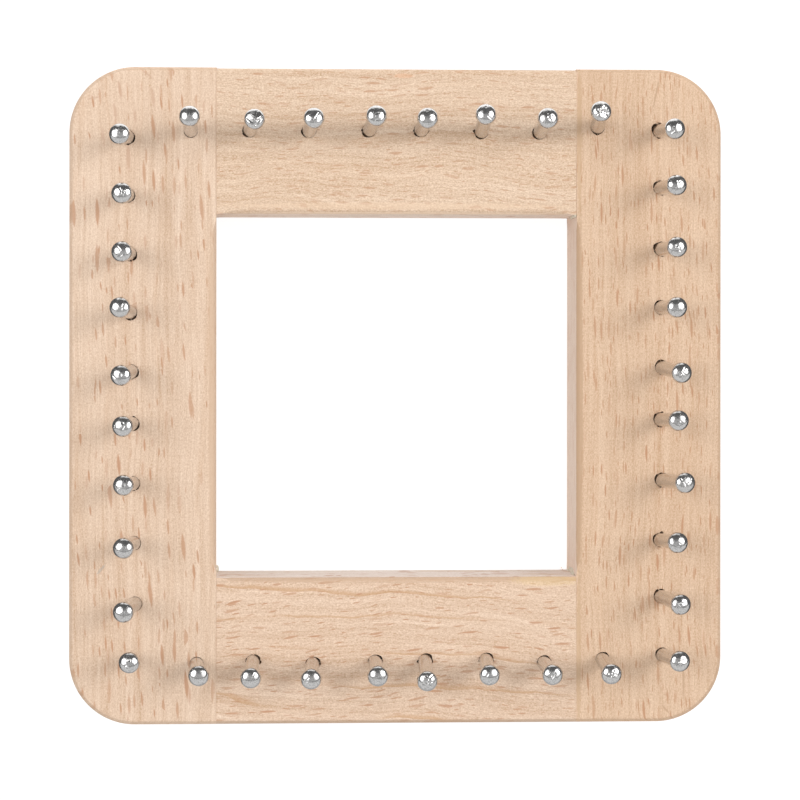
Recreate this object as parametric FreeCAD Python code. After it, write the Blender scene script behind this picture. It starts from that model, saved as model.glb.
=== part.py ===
import FreeCAD, Part
import math
import os
from collections import namedtuple
from FreeCAD import Placement, Rotation, Vector

# A small square knitting board: four beech bars and thirty-six round-headed steel pins.
# All sizes are in millimetres. The board lies flat with +Z up, +Y towards its top rail,
# and the origin in the middle of its underside.

# The frame
BOARD_WIDTH = 149.5
BOARD_LENGTH = 150.0
BOARD_THICKNESS = 18.0
BAR_WIDTH = 33.5
CORNER_RADIUS = 15.0
ARRIS_RADIUS = 1.2
UNDERSIDE_CHAMFER = 0.6

# The butt joints, each held by a pair of dowels
DOWEL_DIAMETER = 6.0
DOWEL_LENGTH = 25.0
DOWEL_SPREAD = 18.0
DOWEL_CHAMFER = 0.8
DOWEL_FIT = 0.05
DOWEL_GLUE_SPACE = 1.0
DOWEL_FLATS = 10

# The pins, whose heads are flattened balls. Lengths run along the pin's own axis, and heights
# from its foot, at the top of the wood, to the widest part of the head. Each row stands a
# little outside the middle of its bar, and leans further out.
PIN_SHANK_DIAMETER = 3.2
PIN_HEAD_DIAMETER = 4.75
PIN_HEAD_DEPTH = 2.9
PIN_HEAD_HEIGHT = 13.1
PIN_WOOD_BELOW = 6.0
PIN_TIP_TAPER = 0.7
PIN_ROW_OFFSET = 3.05
PIN_LEAN = 1.65
PIN_FLATS = 14
HEAD_RINGS = 6

# The drilled holes, a little wider than the shanks, which bear on the outer side of the hole
HOLE_PLAY = 0.3
HOLE_OVERCUT = 3.0

# How each pin was set by hand: its foot off the even spacing in x and y, then its head off
# the row's outward lean in x and y. The side rows run from the top down, the others from
# the left to the right.
Setting = namedtuple("Setting", "foot_x foot_y lean_x lean_y")

LEFT_SETTINGS = [
    Setting(-0.5, -2.4, 0.6, -0.4),
    Setting(-0.4, -2.0, 1.0, -0.3),
    Setting(0.0, -1.7, 0.6, 0.0),
    Setting(0.1, -1.4, 0.1, 0.9),
    Setting(0.4, -1.3, 0.0, -0.7),
    Setting(0.6, 0.5, 0.2, -0.2),
    Setting(0.8, 0.5, 0.2, 0.3),
    Setting(1.0, 0.5, 0.0, -0.1),
    Setting(1.3, 0.3, -0.3, -0.5),
    Setting(0.4, 1.1, 1.9, 1.1),
]
RIGHT_SETTINGS = [
    Setting(-0.6, -0.5, -0.4, -0.6),
    Setting(-0.4, 0.0, -0.2, -0.1),
    Setting(-0.2, -0.4, -0.3, 0.0),
    Setting(-0.2, -0.2, -0.3, -0.1),
    Setting(0.0, -0.4, 0.6, -1.0),
    Setting(-0.3, 1.3, 0.2, 0.2),
    Setting(0.0, 1.0, 1.4, 0.1),
    Setting(-0.4, 0.9, 0.1, 0.4),
    Setting(-0.2, 1.5, 0.6, -0.5),
    Setting(0.2, 1.7, 0.0, 0.2),
]
TOP_SETTINGS = [
    Setting(0.4, -0.8, 0.0, 0.4),
    Setting(0.3, -0.7, 1.0, -0.3),
    Setting(0.2, -0.8, 0.8, 0.1),
    Setting(0.4, -0.5, 1.0, 0.4),
    Setting(-1.3, -0.5, 0.6, -0.1),
    Setting(-1.0, -0.8, -0.2, 1.1),
    Setting(-1.1, -0.9, 0.3, 0.4),
    Setting(-1.4, 0.4, -1.0, 0.7),
]
BOTTOM_SETTINGS = [
    Setting(1.8, 0.1, 0.7, 0.8),
    Setting(1.0, 0.6, -0.5, -0.3),
    Setting(1.1, 0.0, -0.7, 0.0),
    Setting(1.8, 0.4, 0.0, 0.2),
    Setting(-0.3, 0.6, -0.4, -1.2),
    Setting(0.1, 0.7, -0.4, 0.0),
    Setting(-0.1, 0.0, 0.4, 0.7),
    Setting(-0.2, 0.7, 0.2, 0.1),
]

# Worked out from the sizes above
HALF_WIDTH = BOARD_WIDTH / 2
HALF_LENGTH = BOARD_LENGTH / 2
WINDOW_WIDTH = BOARD_WIDTH - 2 * BAR_WIDTH
WINDOW_LENGTH = BOARD_LENGTH - 2 * BAR_WIDTH
PIN_INSET = BAR_WIDTH / 2 - PIN_ROW_OFFSET
PIN_DEPTH = BOARD_THICKNESS - PIN_WOOD_BELOW

Pin = namedtuple("Pin", "name foot axis")


def centred_box(width, length, height, x=0.0, y=0.0):
    """A box on the plane z = 0, centred on x and y."""
    return Part.makeBox(width, length, height, Vector(x - width / 2, y - length / 2, 0))


def rounded_frame():
    """The whole frame in one, as it is after the glued bars have had their edges worked.

    The upper edges are rounded over, round the window too, and the lower ones are only eased.
    """
    slab = centred_box(BOARD_WIDTH, BOARD_LENGTH, BOARD_THICKNESS)
    uprights = [edge for edge in slab.Edges if edge.BoundBox.ZLength > BOARD_THICKNESS / 2]
    slab = slab.makeFillet(CORNER_RADIUS, uprights)
    frame = slab.cut(centred_box(WINDOW_WIDTH, WINDOW_LENGTH, BOARD_THICKNESS))
    upper = [edge for edge in frame.Edges if edge.BoundBox.ZMin > BOARD_THICKNESS / 2]
    frame = frame.makeFillet(ARRIS_RADIUS, upper)
    lower = [edge for edge in frame.Edges if edge.BoundBox.ZMax < BOARD_THICKNESS / 2]
    return frame.makeChamfer(UNDERSIDE_CHAMFER, lower)


def stile_space(side):
    """The full-length space of one stile: side is -1 for the left, 1 for the right."""
    x = side * (HALF_WIDTH - BAR_WIDTH / 2)
    return centred_box(BAR_WIDTH, BOARD_LENGTH, BOARD_THICKNESS, x=x)


def rail_space(side):
    """The space of one rail, between the stiles: side is 1 for the top, -1 for the bottom."""
    y = side * (HALF_LENGTH - BAR_WIDTH / 2)
    return centred_box(WINDOW_WIDTH, BAR_WIDTH, BOARD_THICKNESS, y=y)


def ring(radius, height, sides):
    """The corners of a regular polygon round Z, or a single point on the axis."""
    if radius == 0:
        return [Vector(0, 0, height)] * sides
    turns = [2 * math.pi * (i + 0.5) / sides for i in range(sides)]
    return [Vector(radius * math.cos(turn), radius * math.sin(turn), height) for turn in turns]


def flat_face(corners):
    """A flat face through its corners, of which two in a row may be the same point."""
    distinct = [p for p, q in zip(corners, corners[1:] + corners[:1]) if not p.isEqual(q, 1e-6)]
    return Part.Face(Part.makePolygon(distinct + distinct[:1]))


def turned_in_flats(profile, sides):
    """A solid turned about Z from (radius, height) points, in flat facets.

    Flats keep a small round piece light where the board carries dozens of them.
    """
    rings = [ring(radius, height, sides) for radius, height in profile]
    faces = []
    for lower, upper in zip(rings, rings[1:]):
        for i in range(sides):
            j = (i + 1) % sides
            faces.append(flat_face([lower[i], lower[j], upper[j], upper[i]]))
    for end, (radius, height) in ((rings[0], profile[0]), (rings[-1], profile[-1])):
        if radius > 0:
            faces.append(flat_face(end))
    shell = Part.Shell(faces)
    shell.sewShape()
    solid = Part.Solid(shell)
    if solid.Volume < 0:
        solid.reverse()
    return solid


def make_pin_shape():
    """One pin with its foot at the origin: a tapered tip, a shank and a flattened ball head."""
    shank = PIN_SHANK_DIAMETER / 2
    head = PIN_HEAD_DIAMETER / 2
    rise = PIN_HEAD_DEPTH / 2
    neck_angle = -math.acos(shank / head)
    profile = [(shank - PIN_TIP_TAPER, -PIN_DEPTH), (shank, -PIN_DEPTH + PIN_TIP_TAPER)]
    for i in range(HEAD_RINGS):
        angle = neck_angle + (math.pi / 2 - neck_angle) * i / HEAD_RINGS
        profile.append((head * math.cos(angle), PIN_HEAD_HEIGHT + rise * math.sin(angle)))
    profile.append((0, PIN_HEAD_HEIGHT + rise))
    return turned_in_flats(profile, PIN_FLATS)


def make_drill_shape():
    """What one drilling takes out, with the pin's foot at the origin."""
    radius = (PIN_SHANK_DIAMETER + HOLE_PLAY) / 2
    return turned_in_flats([(radius, -PIN_DEPTH), (radius, HOLE_OVERCUT)], PIN_FLATS)


def make_dowel_shape(radius, length, chamfer):
    """A dowel, or what is drilled for it, centred on the origin along X."""
    profile = [(radius, -length / 2), (radius, length / 2)]
    if chamfer > 0:
        profile = [
            (radius - chamfer, -length / 2),
            (radius, -length / 2 + chamfer),
            (radius, length / 2 - chamfer),
            (radius - chamfer, length / 2),
        ]
    shape = turned_in_flats(profile, DOWEL_FLATS)
    shape.rotate(Vector(0, 0, 0), Vector(0, 1, 0), 90)
    return shape


def even_places(count, first, last):
    """As many evenly spaced values as a row has pins, from first to last."""
    return [first + (last - first) * i / (count - 1) for i in range(count)]


def pin_at(name, x, y, outward, setting):
    """A pin near x and y, in a row that leans along the unit vector outward."""
    foot = Vector(x + setting.foot_x, y + setting.foot_y, BOARD_THICKNESS)
    reach = outward * PIN_LEAN + Vector(setting.lean_x, setting.lean_y, 0)
    rise = math.sqrt(PIN_HEAD_HEIGHT**2 - reach.Length**2)
    axis = reach + Vector(0, 0, rise)
    return Pin(name, foot, axis.normalize())


def all_pins():
    """Every pin: the side rows take in the corners, the other two rows stand between them."""
    pins = []
    side_x = HALF_WIDTH - PIN_INSET
    side_y = HALF_LENGTH - PIN_INSET
    for name, side, settings in (("left", -1, LEFT_SETTINGS), ("right", 1, RIGHT_SETTINGS)):
        places = even_places(len(settings), side_y, -side_y)
        for i, (y, setting) in enumerate(zip(places, settings), start=1):
            pins.append(pin_at(f"{name}_pin_{i:02d}", side * side_x, y, Vector(side, 0, 0), setting))
    for name, side, settings in (("top", 1, TOP_SETTINGS), ("bottom", -1, BOTTOM_SETTINGS)):
        places = even_places(len(settings) + 2, -side_x, side_x)[1:-1]
        for i, (x, setting) in enumerate(zip(places, settings), start=1):
            pins.append(pin_at(f"{name}_pin_{i:02d}", x, side * side_y, Vector(0, side, 0), setting))
    return pins


def placed(shape, foot, axis):
    """A copy of a shape made along Z, moved to a foot and turned to an axis."""
    copy = shape.copy()
    copy.Placement = Placement(foot, Rotation(Vector(0, 0, 1), axis))
    return copy


def drilling(shape, pin):
    """The hole of one pin, shifted inward so that the shank bears on its outer side."""
    inward = Vector(-pin.axis.x, -pin.axis.y, 0).normalize()
    slack = HOLE_PLAY / 2 * math.cos(math.pi / PIN_FLATS)
    return placed(shape, pin.foot + inward * slack, pin.axis)


def dowel_places():
    """The middle of each dowel, on its joint, by name."""
    places = {}
    for rail, up in (("top", 1), ("bottom", -1)):
        for stile, side in (("left", -1), ("right", 1)):
            for row, offset in (("outer", up), ("inner", -up)):
                x = side * WINDOW_WIDTH / 2
                y = up * (HALF_LENGTH - BAR_WIDTH / 2) + offset * DOWEL_SPREAD / 2
                places[f"dowel_{rail}_{stile}_{row}"] = Vector(x, y, BOARD_THICKNESS / 2)
    return places


def build():
    """Every piece of the board, by node name."""
    parts = {}

    pin_shape = make_pin_shape()
    drill_shape = make_drill_shape()
    holes = []
    for pin in all_pins():
        parts[pin.name] = placed(pin_shape, pin.foot, pin.axis)
        holes.append(drilling(drill_shape, pin))

    dowel_radius = DOWEL_DIAMETER / 2
    dowel_shape = make_dowel_shape(dowel_radius, DOWEL_LENGTH, DOWEL_CHAMFER)
    socket_length = DOWEL_LENGTH + 2 * DOWEL_GLUE_SPACE
    socket_shape = make_dowel_shape(dowel_radius + DOWEL_FIT, socket_length, 0)
    for name, middle in dowel_places().items():
        parts[name] = dowel_shape.translated(middle)
        holes.append(socket_shape.translated(middle))

    frame = rounded_frame()
    spaces = {
        "left_stile": stile_space(-1),
        "right_stile": stile_space(1),
        "top_rail": rail_space(1),
        "bottom_rail": rail_space(-1),
    }
    for name, space in spaces.items():
        parts[name] = frame.common(space).cut(holes)
    return parts


def main():
    """Write one STEP file for each piece."""
    os.makedirs("parts", exist_ok=True)
    for name, shape in build().items():
        if len(shape.Solids) == 1:
            shape = shape.Solids[0]
        shape.exportStep(f"parts/{name}.step")
        print(f"{name}: {shape.Volume:.1f} mm3, {len(shape.Faces)} faces")


main()
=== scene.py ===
"""Dresses a small knitting board: four sanded beech bars and thirty-six round-headed steel pins.

Shapes are worked in millimetres and laid down in metres. Each bar and each pin stands in
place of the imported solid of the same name, and the dowels keep theirs.
"""

import logging
import math
import random
from dataclasses import dataclass, field, replace
from enum import Enum, IntEnum

import bmesh
import bpy
from mathutils import Matrix, Quaternion, Vector, noise


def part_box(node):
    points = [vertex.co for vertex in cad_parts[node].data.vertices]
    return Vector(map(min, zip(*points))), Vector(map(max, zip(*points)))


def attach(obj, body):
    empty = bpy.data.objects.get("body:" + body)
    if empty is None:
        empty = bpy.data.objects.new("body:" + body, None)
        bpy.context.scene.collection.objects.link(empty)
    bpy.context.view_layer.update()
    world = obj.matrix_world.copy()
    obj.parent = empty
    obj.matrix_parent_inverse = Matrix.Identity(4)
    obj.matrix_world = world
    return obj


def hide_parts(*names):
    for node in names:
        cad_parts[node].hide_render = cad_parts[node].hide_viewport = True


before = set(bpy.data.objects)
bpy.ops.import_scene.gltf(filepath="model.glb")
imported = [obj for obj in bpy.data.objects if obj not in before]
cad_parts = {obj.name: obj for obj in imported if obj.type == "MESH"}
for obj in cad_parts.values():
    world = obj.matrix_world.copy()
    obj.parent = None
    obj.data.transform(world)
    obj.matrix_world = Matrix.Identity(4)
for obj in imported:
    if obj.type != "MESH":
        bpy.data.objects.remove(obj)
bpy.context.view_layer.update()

Colour = tuple[float, float, float]
Solid = bmesh.types.BMesh

MM = 0.001
IMAGE_PIXELS = 800
MERGE = 1e-4
TOUCH = 1e-3
UP = Vector((0.0, 0.0, 1.0))
WHITE = (1.0, 1.0, 1.0)
LOG = logging.getLogger("knitting_board")


class Grain(Enum):
    """Which way the fibres of a bar run: the turn in degrees that lays them along Y."""

    ALONG_Y = 0.0
    ALONG_X = 90.0

    @property
    def axis(self) -> int:
        """The place of the fibres' direction among x, y and z."""
        return 1 if self is Grain.ALONG_Y else 0

    @property
    def way(self) -> Vector:
        """The fibres' direction on the board."""
        return Vector((1.0 - self.axis, float(self.axis), 0.0))


class Surface(IntEnum):
    """The kinds of face on a bar, by their place among its materials."""

    FACE = 0
    WINDOW_WALL = 1
    GLUE = 2


class Blemish(Enum):
    """The marks that setting a pin leaves on its head."""

    DENT = "dent"
    SLOT = "slot"
    RING = "ring"
    FACET = "facet"


# Node trees


class Signal:
    """A value in a node tree. Plain arithmetic with it adds the nodes that work it out."""

    def __init__(self, bench: "NodeBench", socket: bpy.types.NodeSocket) -> None:
        """Keep the socket and its bench."""
        self.bench = bench
        self.socket = socket

    def __add__(self, other: "Signal | float") -> "Signal":
        """The sum of two values."""
        return self.bench.math("ADD", self, other)

    def __sub__(self, other: "Signal | float") -> "Signal":
        """This value less the other one."""
        return self.bench.math("SUBTRACT", self, other)

    def __rsub__(self, other: float) -> "Signal":
        """A number less this value."""
        return self.bench.math("SUBTRACT", other, self)

    def __mul__(self, other: "Signal | float") -> "Signal":
        """The product of two values."""
        return self.bench.math("MULTIPLY", self, other)

    def __truediv__(self, other: "Signal | float") -> "Signal":
        """This value over the other one."""
        return self.bench.math("DIVIDE", self, other)

    def __abs__(self) -> "Signal":
        """The value without its sign."""
        return self.bench.math("ABSOLUTE", self)


class NodeBench:
    """Sets out the nodes of one material, group or world."""

    def __init__(self, tree: bpy.types.NodeTree) -> None:
        """Keep the tree that is worked on."""
        self.tree = tree

    def add(self, kind: str, *values: object, **settings: object) -> bpy.types.Node:
        """Add a node.

        Args:
            kind: the node's type, without the ShaderNode prefix.
            values: what its first inputs are fed, in their order.
            settings: property names and values.

        Returns:
            The new node.
        """
        prefix = "" if kind.startswith("Node") else "ShaderNode"
        node = self.tree.nodes.new(prefix + kind)
        for name, value in settings.items():
            setattr(node, name, value)
        for socket, value in zip(node.inputs, values):
            self.feed(socket, value)
        return node

    def feed(self, socket: bpy.types.NodeSocket, value: object) -> None:
        """Link a socket to a signal, or set it to a value.

        Args:
            socket: the input.
            value: a signal, a number, a vector or a colour; None leaves it alone.
        """
        if isinstance(value, Signal):
            self.tree.links.new(value.socket, socket)
        elif value is not None:
            socket.default_value = (*value, 1.0) if socket.type == "RGBA" else value

    def wire(self, node: bpy.types.Node, **values: object) -> bpy.types.Node:
        """Feed a node's inputs by name.

        Args:
            node: the node.
            values: what each input is fed, with _ in its name for a space.

        Returns:
            The node.
        """
        for name, value in values.items():
            self.feed(node.inputs[name.replace("_", " ")], value)
        return node

    def out(self, node: bpy.types.Node, which: int | str = 0) -> Signal:
        """One of a node's outputs."""
        return Signal(self, node.outputs[which])

    def math(self, operation: str, *values: object, clamp: bool = False) -> Signal:
        """Work out one value from up to three."""
        return self.out(self.add("Math", *values, operation=operation, use_clamp=clamp))

    def vector(self, operation: str, *values: object) -> Signal:
        """Work out one vector from two."""
        return self.out(self.add("VectorMath", *values, operation=operation))

    def length(self, value: Signal) -> Signal:
        """A vector's length."""
        return self.out(self.add("VectorMath", value, operation="LENGTH"), "Value")

    def step(self, value: Signal, low: float, high: float) -> Signal:
        """A smooth step from 0 at low to 1 at high; low may be the greater."""
        limits = (low, high, 0.0, 1.0) if low < high else (high, low, 1.0, 0.0)
        return self.out(self.add("MapRange", value, *limits, interpolation_type="SMOOTHSTEP"))

    def noise(
        self, place: Signal, scale: float | tuple[float, float, float], detail: float, roughness: float = 0.5
    ) -> Signal:
        """Plain noise, around a half, at a place.

        Args:
            place: where.
            scale: how fine it is, for all three axes or for each.
            detail: how many finer layers it has.
            roughness: how strong the finer layers are.

        Returns:
            The noise.
        """
        if isinstance(scale, tuple):
            place = self.vector("MULTIPLY", place, scale)
            scale = 1.0
        node = self.add("TexNoise", noise_dimensions="3D")
        return self.out(self.wire(node, Vector=place, Scale=scale, Detail=detail, Roughness=roughness))

    def blend(self, factor: Signal, first: object, second: object) -> Signal:
        """Blend two colours."""
        colours = (None, None, None, None, None, first, second)
        return self.out(self.add("Mix", factor, *colours, data_type="RGBA", clamp_factor=True), 2)

    def choose(self, factor: Signal, first: object, second: object) -> Signal:
        """Blend two values."""
        return self.out(self.add("Mix", factor, None, first, second, data_type="FLOAT"))

    def pack(self, x: object, y: object, z: object) -> Signal:
        """Put three values together as a vector."""
        return self.out(self.add("CombineXYZ", x, y, z))

    def parts(self, value: Signal) -> tuple[Signal, ...]:
        """Take a vector apart into x, y and z."""
        node = self.add("SeparateXYZ", value)
        return tuple(Signal(self, socket) for socket in node.outputs)

    def mapped(
        self, place: Signal, kind: str, turn: float, scale: tuple[float, ...], start: tuple[float, ...]
    ) -> Signal:
        """Send a place through a Mapping node.

        Args:
            place: where.
            kind: POINT to move the place, or TEXTURE to move the pattern.
            turn: its turn about Z in degrees.
            scale: its scale along each axis.
            start: its location.

        Returns:
            The place as the node gives it.
        """
        node = self.add("Mapping", vector_type=kind)
        rotation = (0.0, 0.0, math.radians(turn))
        return self.out(self.wire(node, Vector=place, Location=start, Rotation=rotation, Scale=scale))

    def in_millimetres(self, turn: float = 0.0) -> Signal:
        """Object coordinates in millimetres, turned about Z by degrees."""
        place = self.out(self.add("TexCoord"), "Object")
        return self.mapped(place, "POINT", turn, (1.0 / MM,) * 3, (0.0, 0.0, 0.0))

    def bump(self, height: Signal, strength: float, distance: float) -> Signal:
        """The relief that a height gives; its distance is in millimetres."""
        node = self.add("Bump")
        return self.out(self.wire(node, Strength=strength, Distance=distance * MM, Height=height))

    def glow(self, strength: object) -> Signal:
        """A white light."""
        return self.out(self.add("Emission", WHITE, strength))

    def mixed(self, factor: Signal, first: Signal, second: Signal) -> Signal:
        """Mix two shaders."""
        return self.out(self.add("MixShader", factor, first, second))


def bare_material(name: str) -> tuple[bpy.types.Material, NodeBench, bpy.types.Node]:
    """Start a material.

    Args:
        name: the material's name.

    Returns:
        The material, its bench and its Principled shader.
    """
    material = bpy.data.materials.new(name)
    material.use_nodes = True
    return material, NodeBench(material.node_tree), material.node_tree.nodes["Principled BSDF"]


class EffectGroup:
    """An effect as a node group with named numbers, which is built once and placed in materials."""

    NAME = ""
    INPUTS: tuple[str, ...] = ()
    OUTPUTS: tuple[str, ...] = ()

    @classmethod
    def placed(cls, bench: NodeBench, place: Signal, **values: object) -> dict[str, Signal]:
        """Place the group in a material.

        Args:
            bench: the material's bench.
            place: object coordinates in millimetres, with the fibres of wood along Y.
            values: its other inputs.

        Returns:
            Its outputs by name.
        """
        tree = bpy.data.node_groups.get(cls.NAME) or cls._build()
        node = bench.wire(bench.add("Group", node_tree=tree), place=place, **values)
        return {name: bench.out(node, name) for name in cls.OUTPUTS}

    @classmethod
    def _build(cls) -> bpy.types.NodeTree:
        """Make the group's sockets and set out its nodes.

        Returns:
            The group.
        """
        tree = bpy.data.node_groups.new(cls.NAME, "ShaderNodeTree")
        tree.interface.new_socket("place", in_out="INPUT", socket_type="NodeSocketVector")
        for way, names in (("INPUT", cls.INPUTS), ("OUTPUT", cls.OUTPUTS)):
            for name in names:
                label = name.replace("_", " ")
                tree.interface.new_socket(label, in_out=way, socket_type="NodeSocketFloat")
        bench = NodeBench(tree)
        sockets = bench.add("NodeGroupInput").outputs
        given = {name: Signal(bench, socket) for name, socket in zip(("place", *cls.INPUTS), sockets)}
        bench.wire(bench.add("NodeGroupOutput"), **cls._results(bench, given))
        return tree

    @classmethod
    def _results(cls, bench: NodeBench, given: dict[str, Signal]) -> dict[str, Signal]:
        """Work out the outputs from the inputs.

        Args:
            bench: the group's bench.
            given: its inputs by name.

        Returns:
            Its outputs by name.
        """
        raise NotImplementedError


class BeechFigure(EffectGroup):
    """The figure of beech: fibres, growth bands and lines, ripple and rays.

    Tone is a half where the wood has its mean colour, and more where it is paler. The other
    outputs are masks from 0 to 1. Layers of noise are given as scale, detail and roughness.
    """

    NAME = "beech_figure"
    INPUTS = (
        "seed", "fibres", "ripple", "stipple", "waviness", "slope", "tilt", "face",
        "ray_width", "ray_length", "ray_share", "ray_lean",
    )
    OUTPUTS = ("tone", "rays", "lines", "grain")
    FIBRES = ((0.55, 0.013, 0.5), 4.0, 0.9)
    RIPPLE = ((3.1, 0.95, 3.0), 1.5, 0.7)
    STIPPLE = ((4.4, 2.5, 4.0), 1.0, 0.6)
    BANDS = ((0.13, 0.006, 0.1), 1.0)
    WEIGHTS = {"fibres": 1.4, "ripple": 0.6, "stipple": 1.0}
    RELIEF = (0.6, 0.4)
    BAND_WEIGHT = 0.16
    LONG_WAVE = ((0.03, 0.022, 0.05), 1.0)
    SHORT_WAVE = ((0.16, 0.13, 0.2), 1.0)
    WAVE_HEIGHTS = (9.0, 1.5)
    LINE_WANDER = ((0.1, 0.012, 0.1), 2.0)
    LINE_FADE = ((0.4, 0.03, 0.3), 1.0)
    LINE_SWING = 14.0
    LINE_GAP = 7.0
    LINE_RISE = (0.8, 0.985)
    LINE_FALL = (1.0, 0.99)
    LINE_SHOWN = (0.38, 0.62)
    RAY_CELL = (2.3, 8.0, 6.0)
    RAY_SIZES = ((1.0, 0.0), (0.6, 37.0))
    RAY_TILT = 0.35
    RAY_REACH = (0.24, 0.12)
    RAY_BREADTH = (0.4, 0.055)
    RAY_EDGE = (1.25, 0.5)
    RAY_DEPTH = (0.65, 0.35)

    @classmethod
    def _results(cls, bench: NodeBench, given: dict[str, Signal]) -> dict[str, Signal]:
        """The tone and the masks.

        Args:
            bench: the group's bench.
            given: its inputs by name.

        Returns:
            Its outputs by name.
        """
        seed = bench.pack(given["seed"], given["seed"] * 3.7, 0.0)
        place = bench.vector("ADD", cls._bent(bench, given, seed), seed)
        fibres = bench.noise(place, *cls.FIBRES)
        ripple = bench.noise(place, *cls.RIPPLE)
        layers = {"fibres": fibres, "ripple": ripple, "stipple": bench.noise(place, *cls.STIPPLE)}
        tone = (bench.noise(place, *cls.BANDS) - 0.5) * cls.BAND_WEIGHT + 0.5
        for name, layer in layers.items():
            tone = tone + (layer - 0.5) * cls.WEIGHTS[name] * given[name]
        grain = fibres * cls.RELIEF[0] + ripple * cls.RELIEF[1]
        rays, lines = cls._rays(bench, given, place), cls._lines(bench, place)
        return {"tone": tone, "rays": rays, "lines": lines, "grain": grain}

    @classmethod
    def _bent(cls, bench: NodeBench, given: dict[str, Signal], seed: Signal) -> Signal:
        """Bend the place, so that the fibres wander, slope, and tilt below the face.

        Args:
            bench: the group's bench.
            given: its inputs by name.
            seed: the bar's own shift.

        Returns:
            The place, pushed sideways.
        """
        moved = bench.vector("ADD", given["place"], seed)
        long_wave = (bench.noise(moved, *cls.LONG_WAVE) - 0.5) * cls.WAVE_HEIGHTS[0]
        short_wave = (bench.noise(moved, *cls.SHORT_WAVE) - 0.5) * cls.WAVE_HEIGHTS[1]
        slope = bench.parts(moved)[1] * given["slope"]
        tilt = (given["face"] - bench.parts(given["place"])[2]) * given["tilt"]
        push = (long_wave + short_wave) * given["waviness"] + (slope + tilt)
        return bench.vector("ADD", given["place"], bench.pack(push, 0.0, 0.0))

    @classmethod
    def _lines(cls, bench: NodeBench, place: Signal) -> Signal:
        """Thin late-wood lines at the edge of each growth band, which come and go.

        Args:
            bench: the group's bench.
            place: the bent place.

        Returns:
            Their mask.
        """
        across = bench.parts(place)[0] + bench.noise(place, *cls.LINE_WANDER) * cls.LINE_SWING
        saw = bench.math("FRACT", across / cls.LINE_GAP)
        edge = bench.step(saw, *cls.LINE_RISE) * bench.step(saw, *cls.LINE_FALL)
        return edge * bench.step(bench.noise(place, *cls.LINE_FADE), *cls.LINE_SHOWN)

    @classmethod
    def _rays(cls, bench: NodeBench, given: dict[str, Signal], place: Signal) -> Signal:
        """Lens-shaped flecks of two sizes, each in its own cell with its own length and strength.

        Args:
            bench: the group's bench.
            given: its inputs by name.
            place: the bent place.

        Returns:
            Their mask.
        """
        masks = []
        for size, shift in cls.RAY_SIZES:
            x, y, z = bench.parts(bench.vector("ADD", place, (shift, shift * 0.3, shift * 0.7)))
            wide = given["ray_width"] * (cls.RAY_CELL[0] * size)
            long = given["ray_length"] * (cls.RAY_CELL[1] * size)
            cell = bench.pack((x + y * given["ray_lean"]) / wide, y / long, z / cls.RAY_CELL[2])
            net = bench.add("TexVoronoi", voronoi_dimensions="3D", feature="F1")
            bench.wire(net, Vector=cell, Scale=1.0, Randomness=1.0)
            across, along, _ = bench.parts(bench.vector("SUBTRACT", cell, bench.out(net, "Position")))
            lot, vigour, odd = bench.parts(bench.out(net, "Color"))
            off = abs(across + along * ((odd - 0.5) * cls.RAY_TILT))
            reach = vigour * cls.RAY_REACH[0] + cls.RAY_REACH[1]
            breadth = reach * cls.RAY_BREADTH[0] + cls.RAY_BREADTH[1]
            lens = off / breadth + bench.math("POWER", abs(along) / reach, 2.0)
            present = bench.math("LESS_THAN", lot, given["ray_share"])
            depth = odd * cls.RAY_DEPTH[0] + cls.RAY_DEPTH[1]
            masks.append(bench.step(lens, *cls.RAY_EDGE) * present * depth)
        return bench.math("MAXIMUM", *masks)


class EndGrain(EffectGroup):
    """What shows where a bar is cut across: close rings, fine ray lines and pores.

    Facing is how far the surface looks along the fibres.
    """

    NAME = "beech_end_grain"
    INPUTS = ("facing", "seed")
    OUTPUTS = ("mask", "tone")
    WANDER = (0.12, 2.0)
    RAY_LINES = ((2.6, 0.0, 0.16), 3.0)
    PORES = ((5.0, 0.0, 5.0), 1.0)
    WANDER_REACH = 5.0
    PITH_DEPTH = 46.0
    RING_GAP = 2.2
    RING_EDGE = (0.55, 1.0)
    RAY_EDGE = (0.5, 0.72)
    PORE_EDGE = (0.5, 0.75)
    RING_TONE = 0.4
    RAY_TONE = 0.45
    PORE_TONE = 0.25
    FACING = (0.62, 0.9)

    @classmethod
    def _results(cls, bench: NodeBench, given: dict[str, Signal]) -> dict[str, Signal]:
        """Where the end grain shows, and how deep its colour is.

        Args:
            bench: the group's bench.
            given: its inputs by name.

        Returns:
            Its outputs by name.
        """
        x, _, z = bench.parts(given["place"])
        pith = bench.pack(x + given["seed"] * 2.0, 0.0, z + cls.PITH_DEPTH)
        wander = (bench.noise(given["place"], *cls.WANDER) - 0.5) * cls.WANDER_REACH
        ring = bench.math("FRACT", (bench.length(pith) + wander) / cls.RING_GAP)
        lines = bench.step(bench.noise(given["place"], *cls.RAY_LINES), *cls.RAY_EDGE)
        pores = bench.step(bench.noise(given["place"], *cls.PORES), *cls.PORE_EDGE)
        tone = bench.step(ring, *cls.RING_EDGE) * cls.RING_TONE + lines * cls.RAY_TONE
        tone = bench.math("ADD", tone, pores * cls.PORE_TONE, clamp=True)
        return {"mask": bench.step(abs(given["facing"]), *cls.FACING), "tone": tone}


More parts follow.
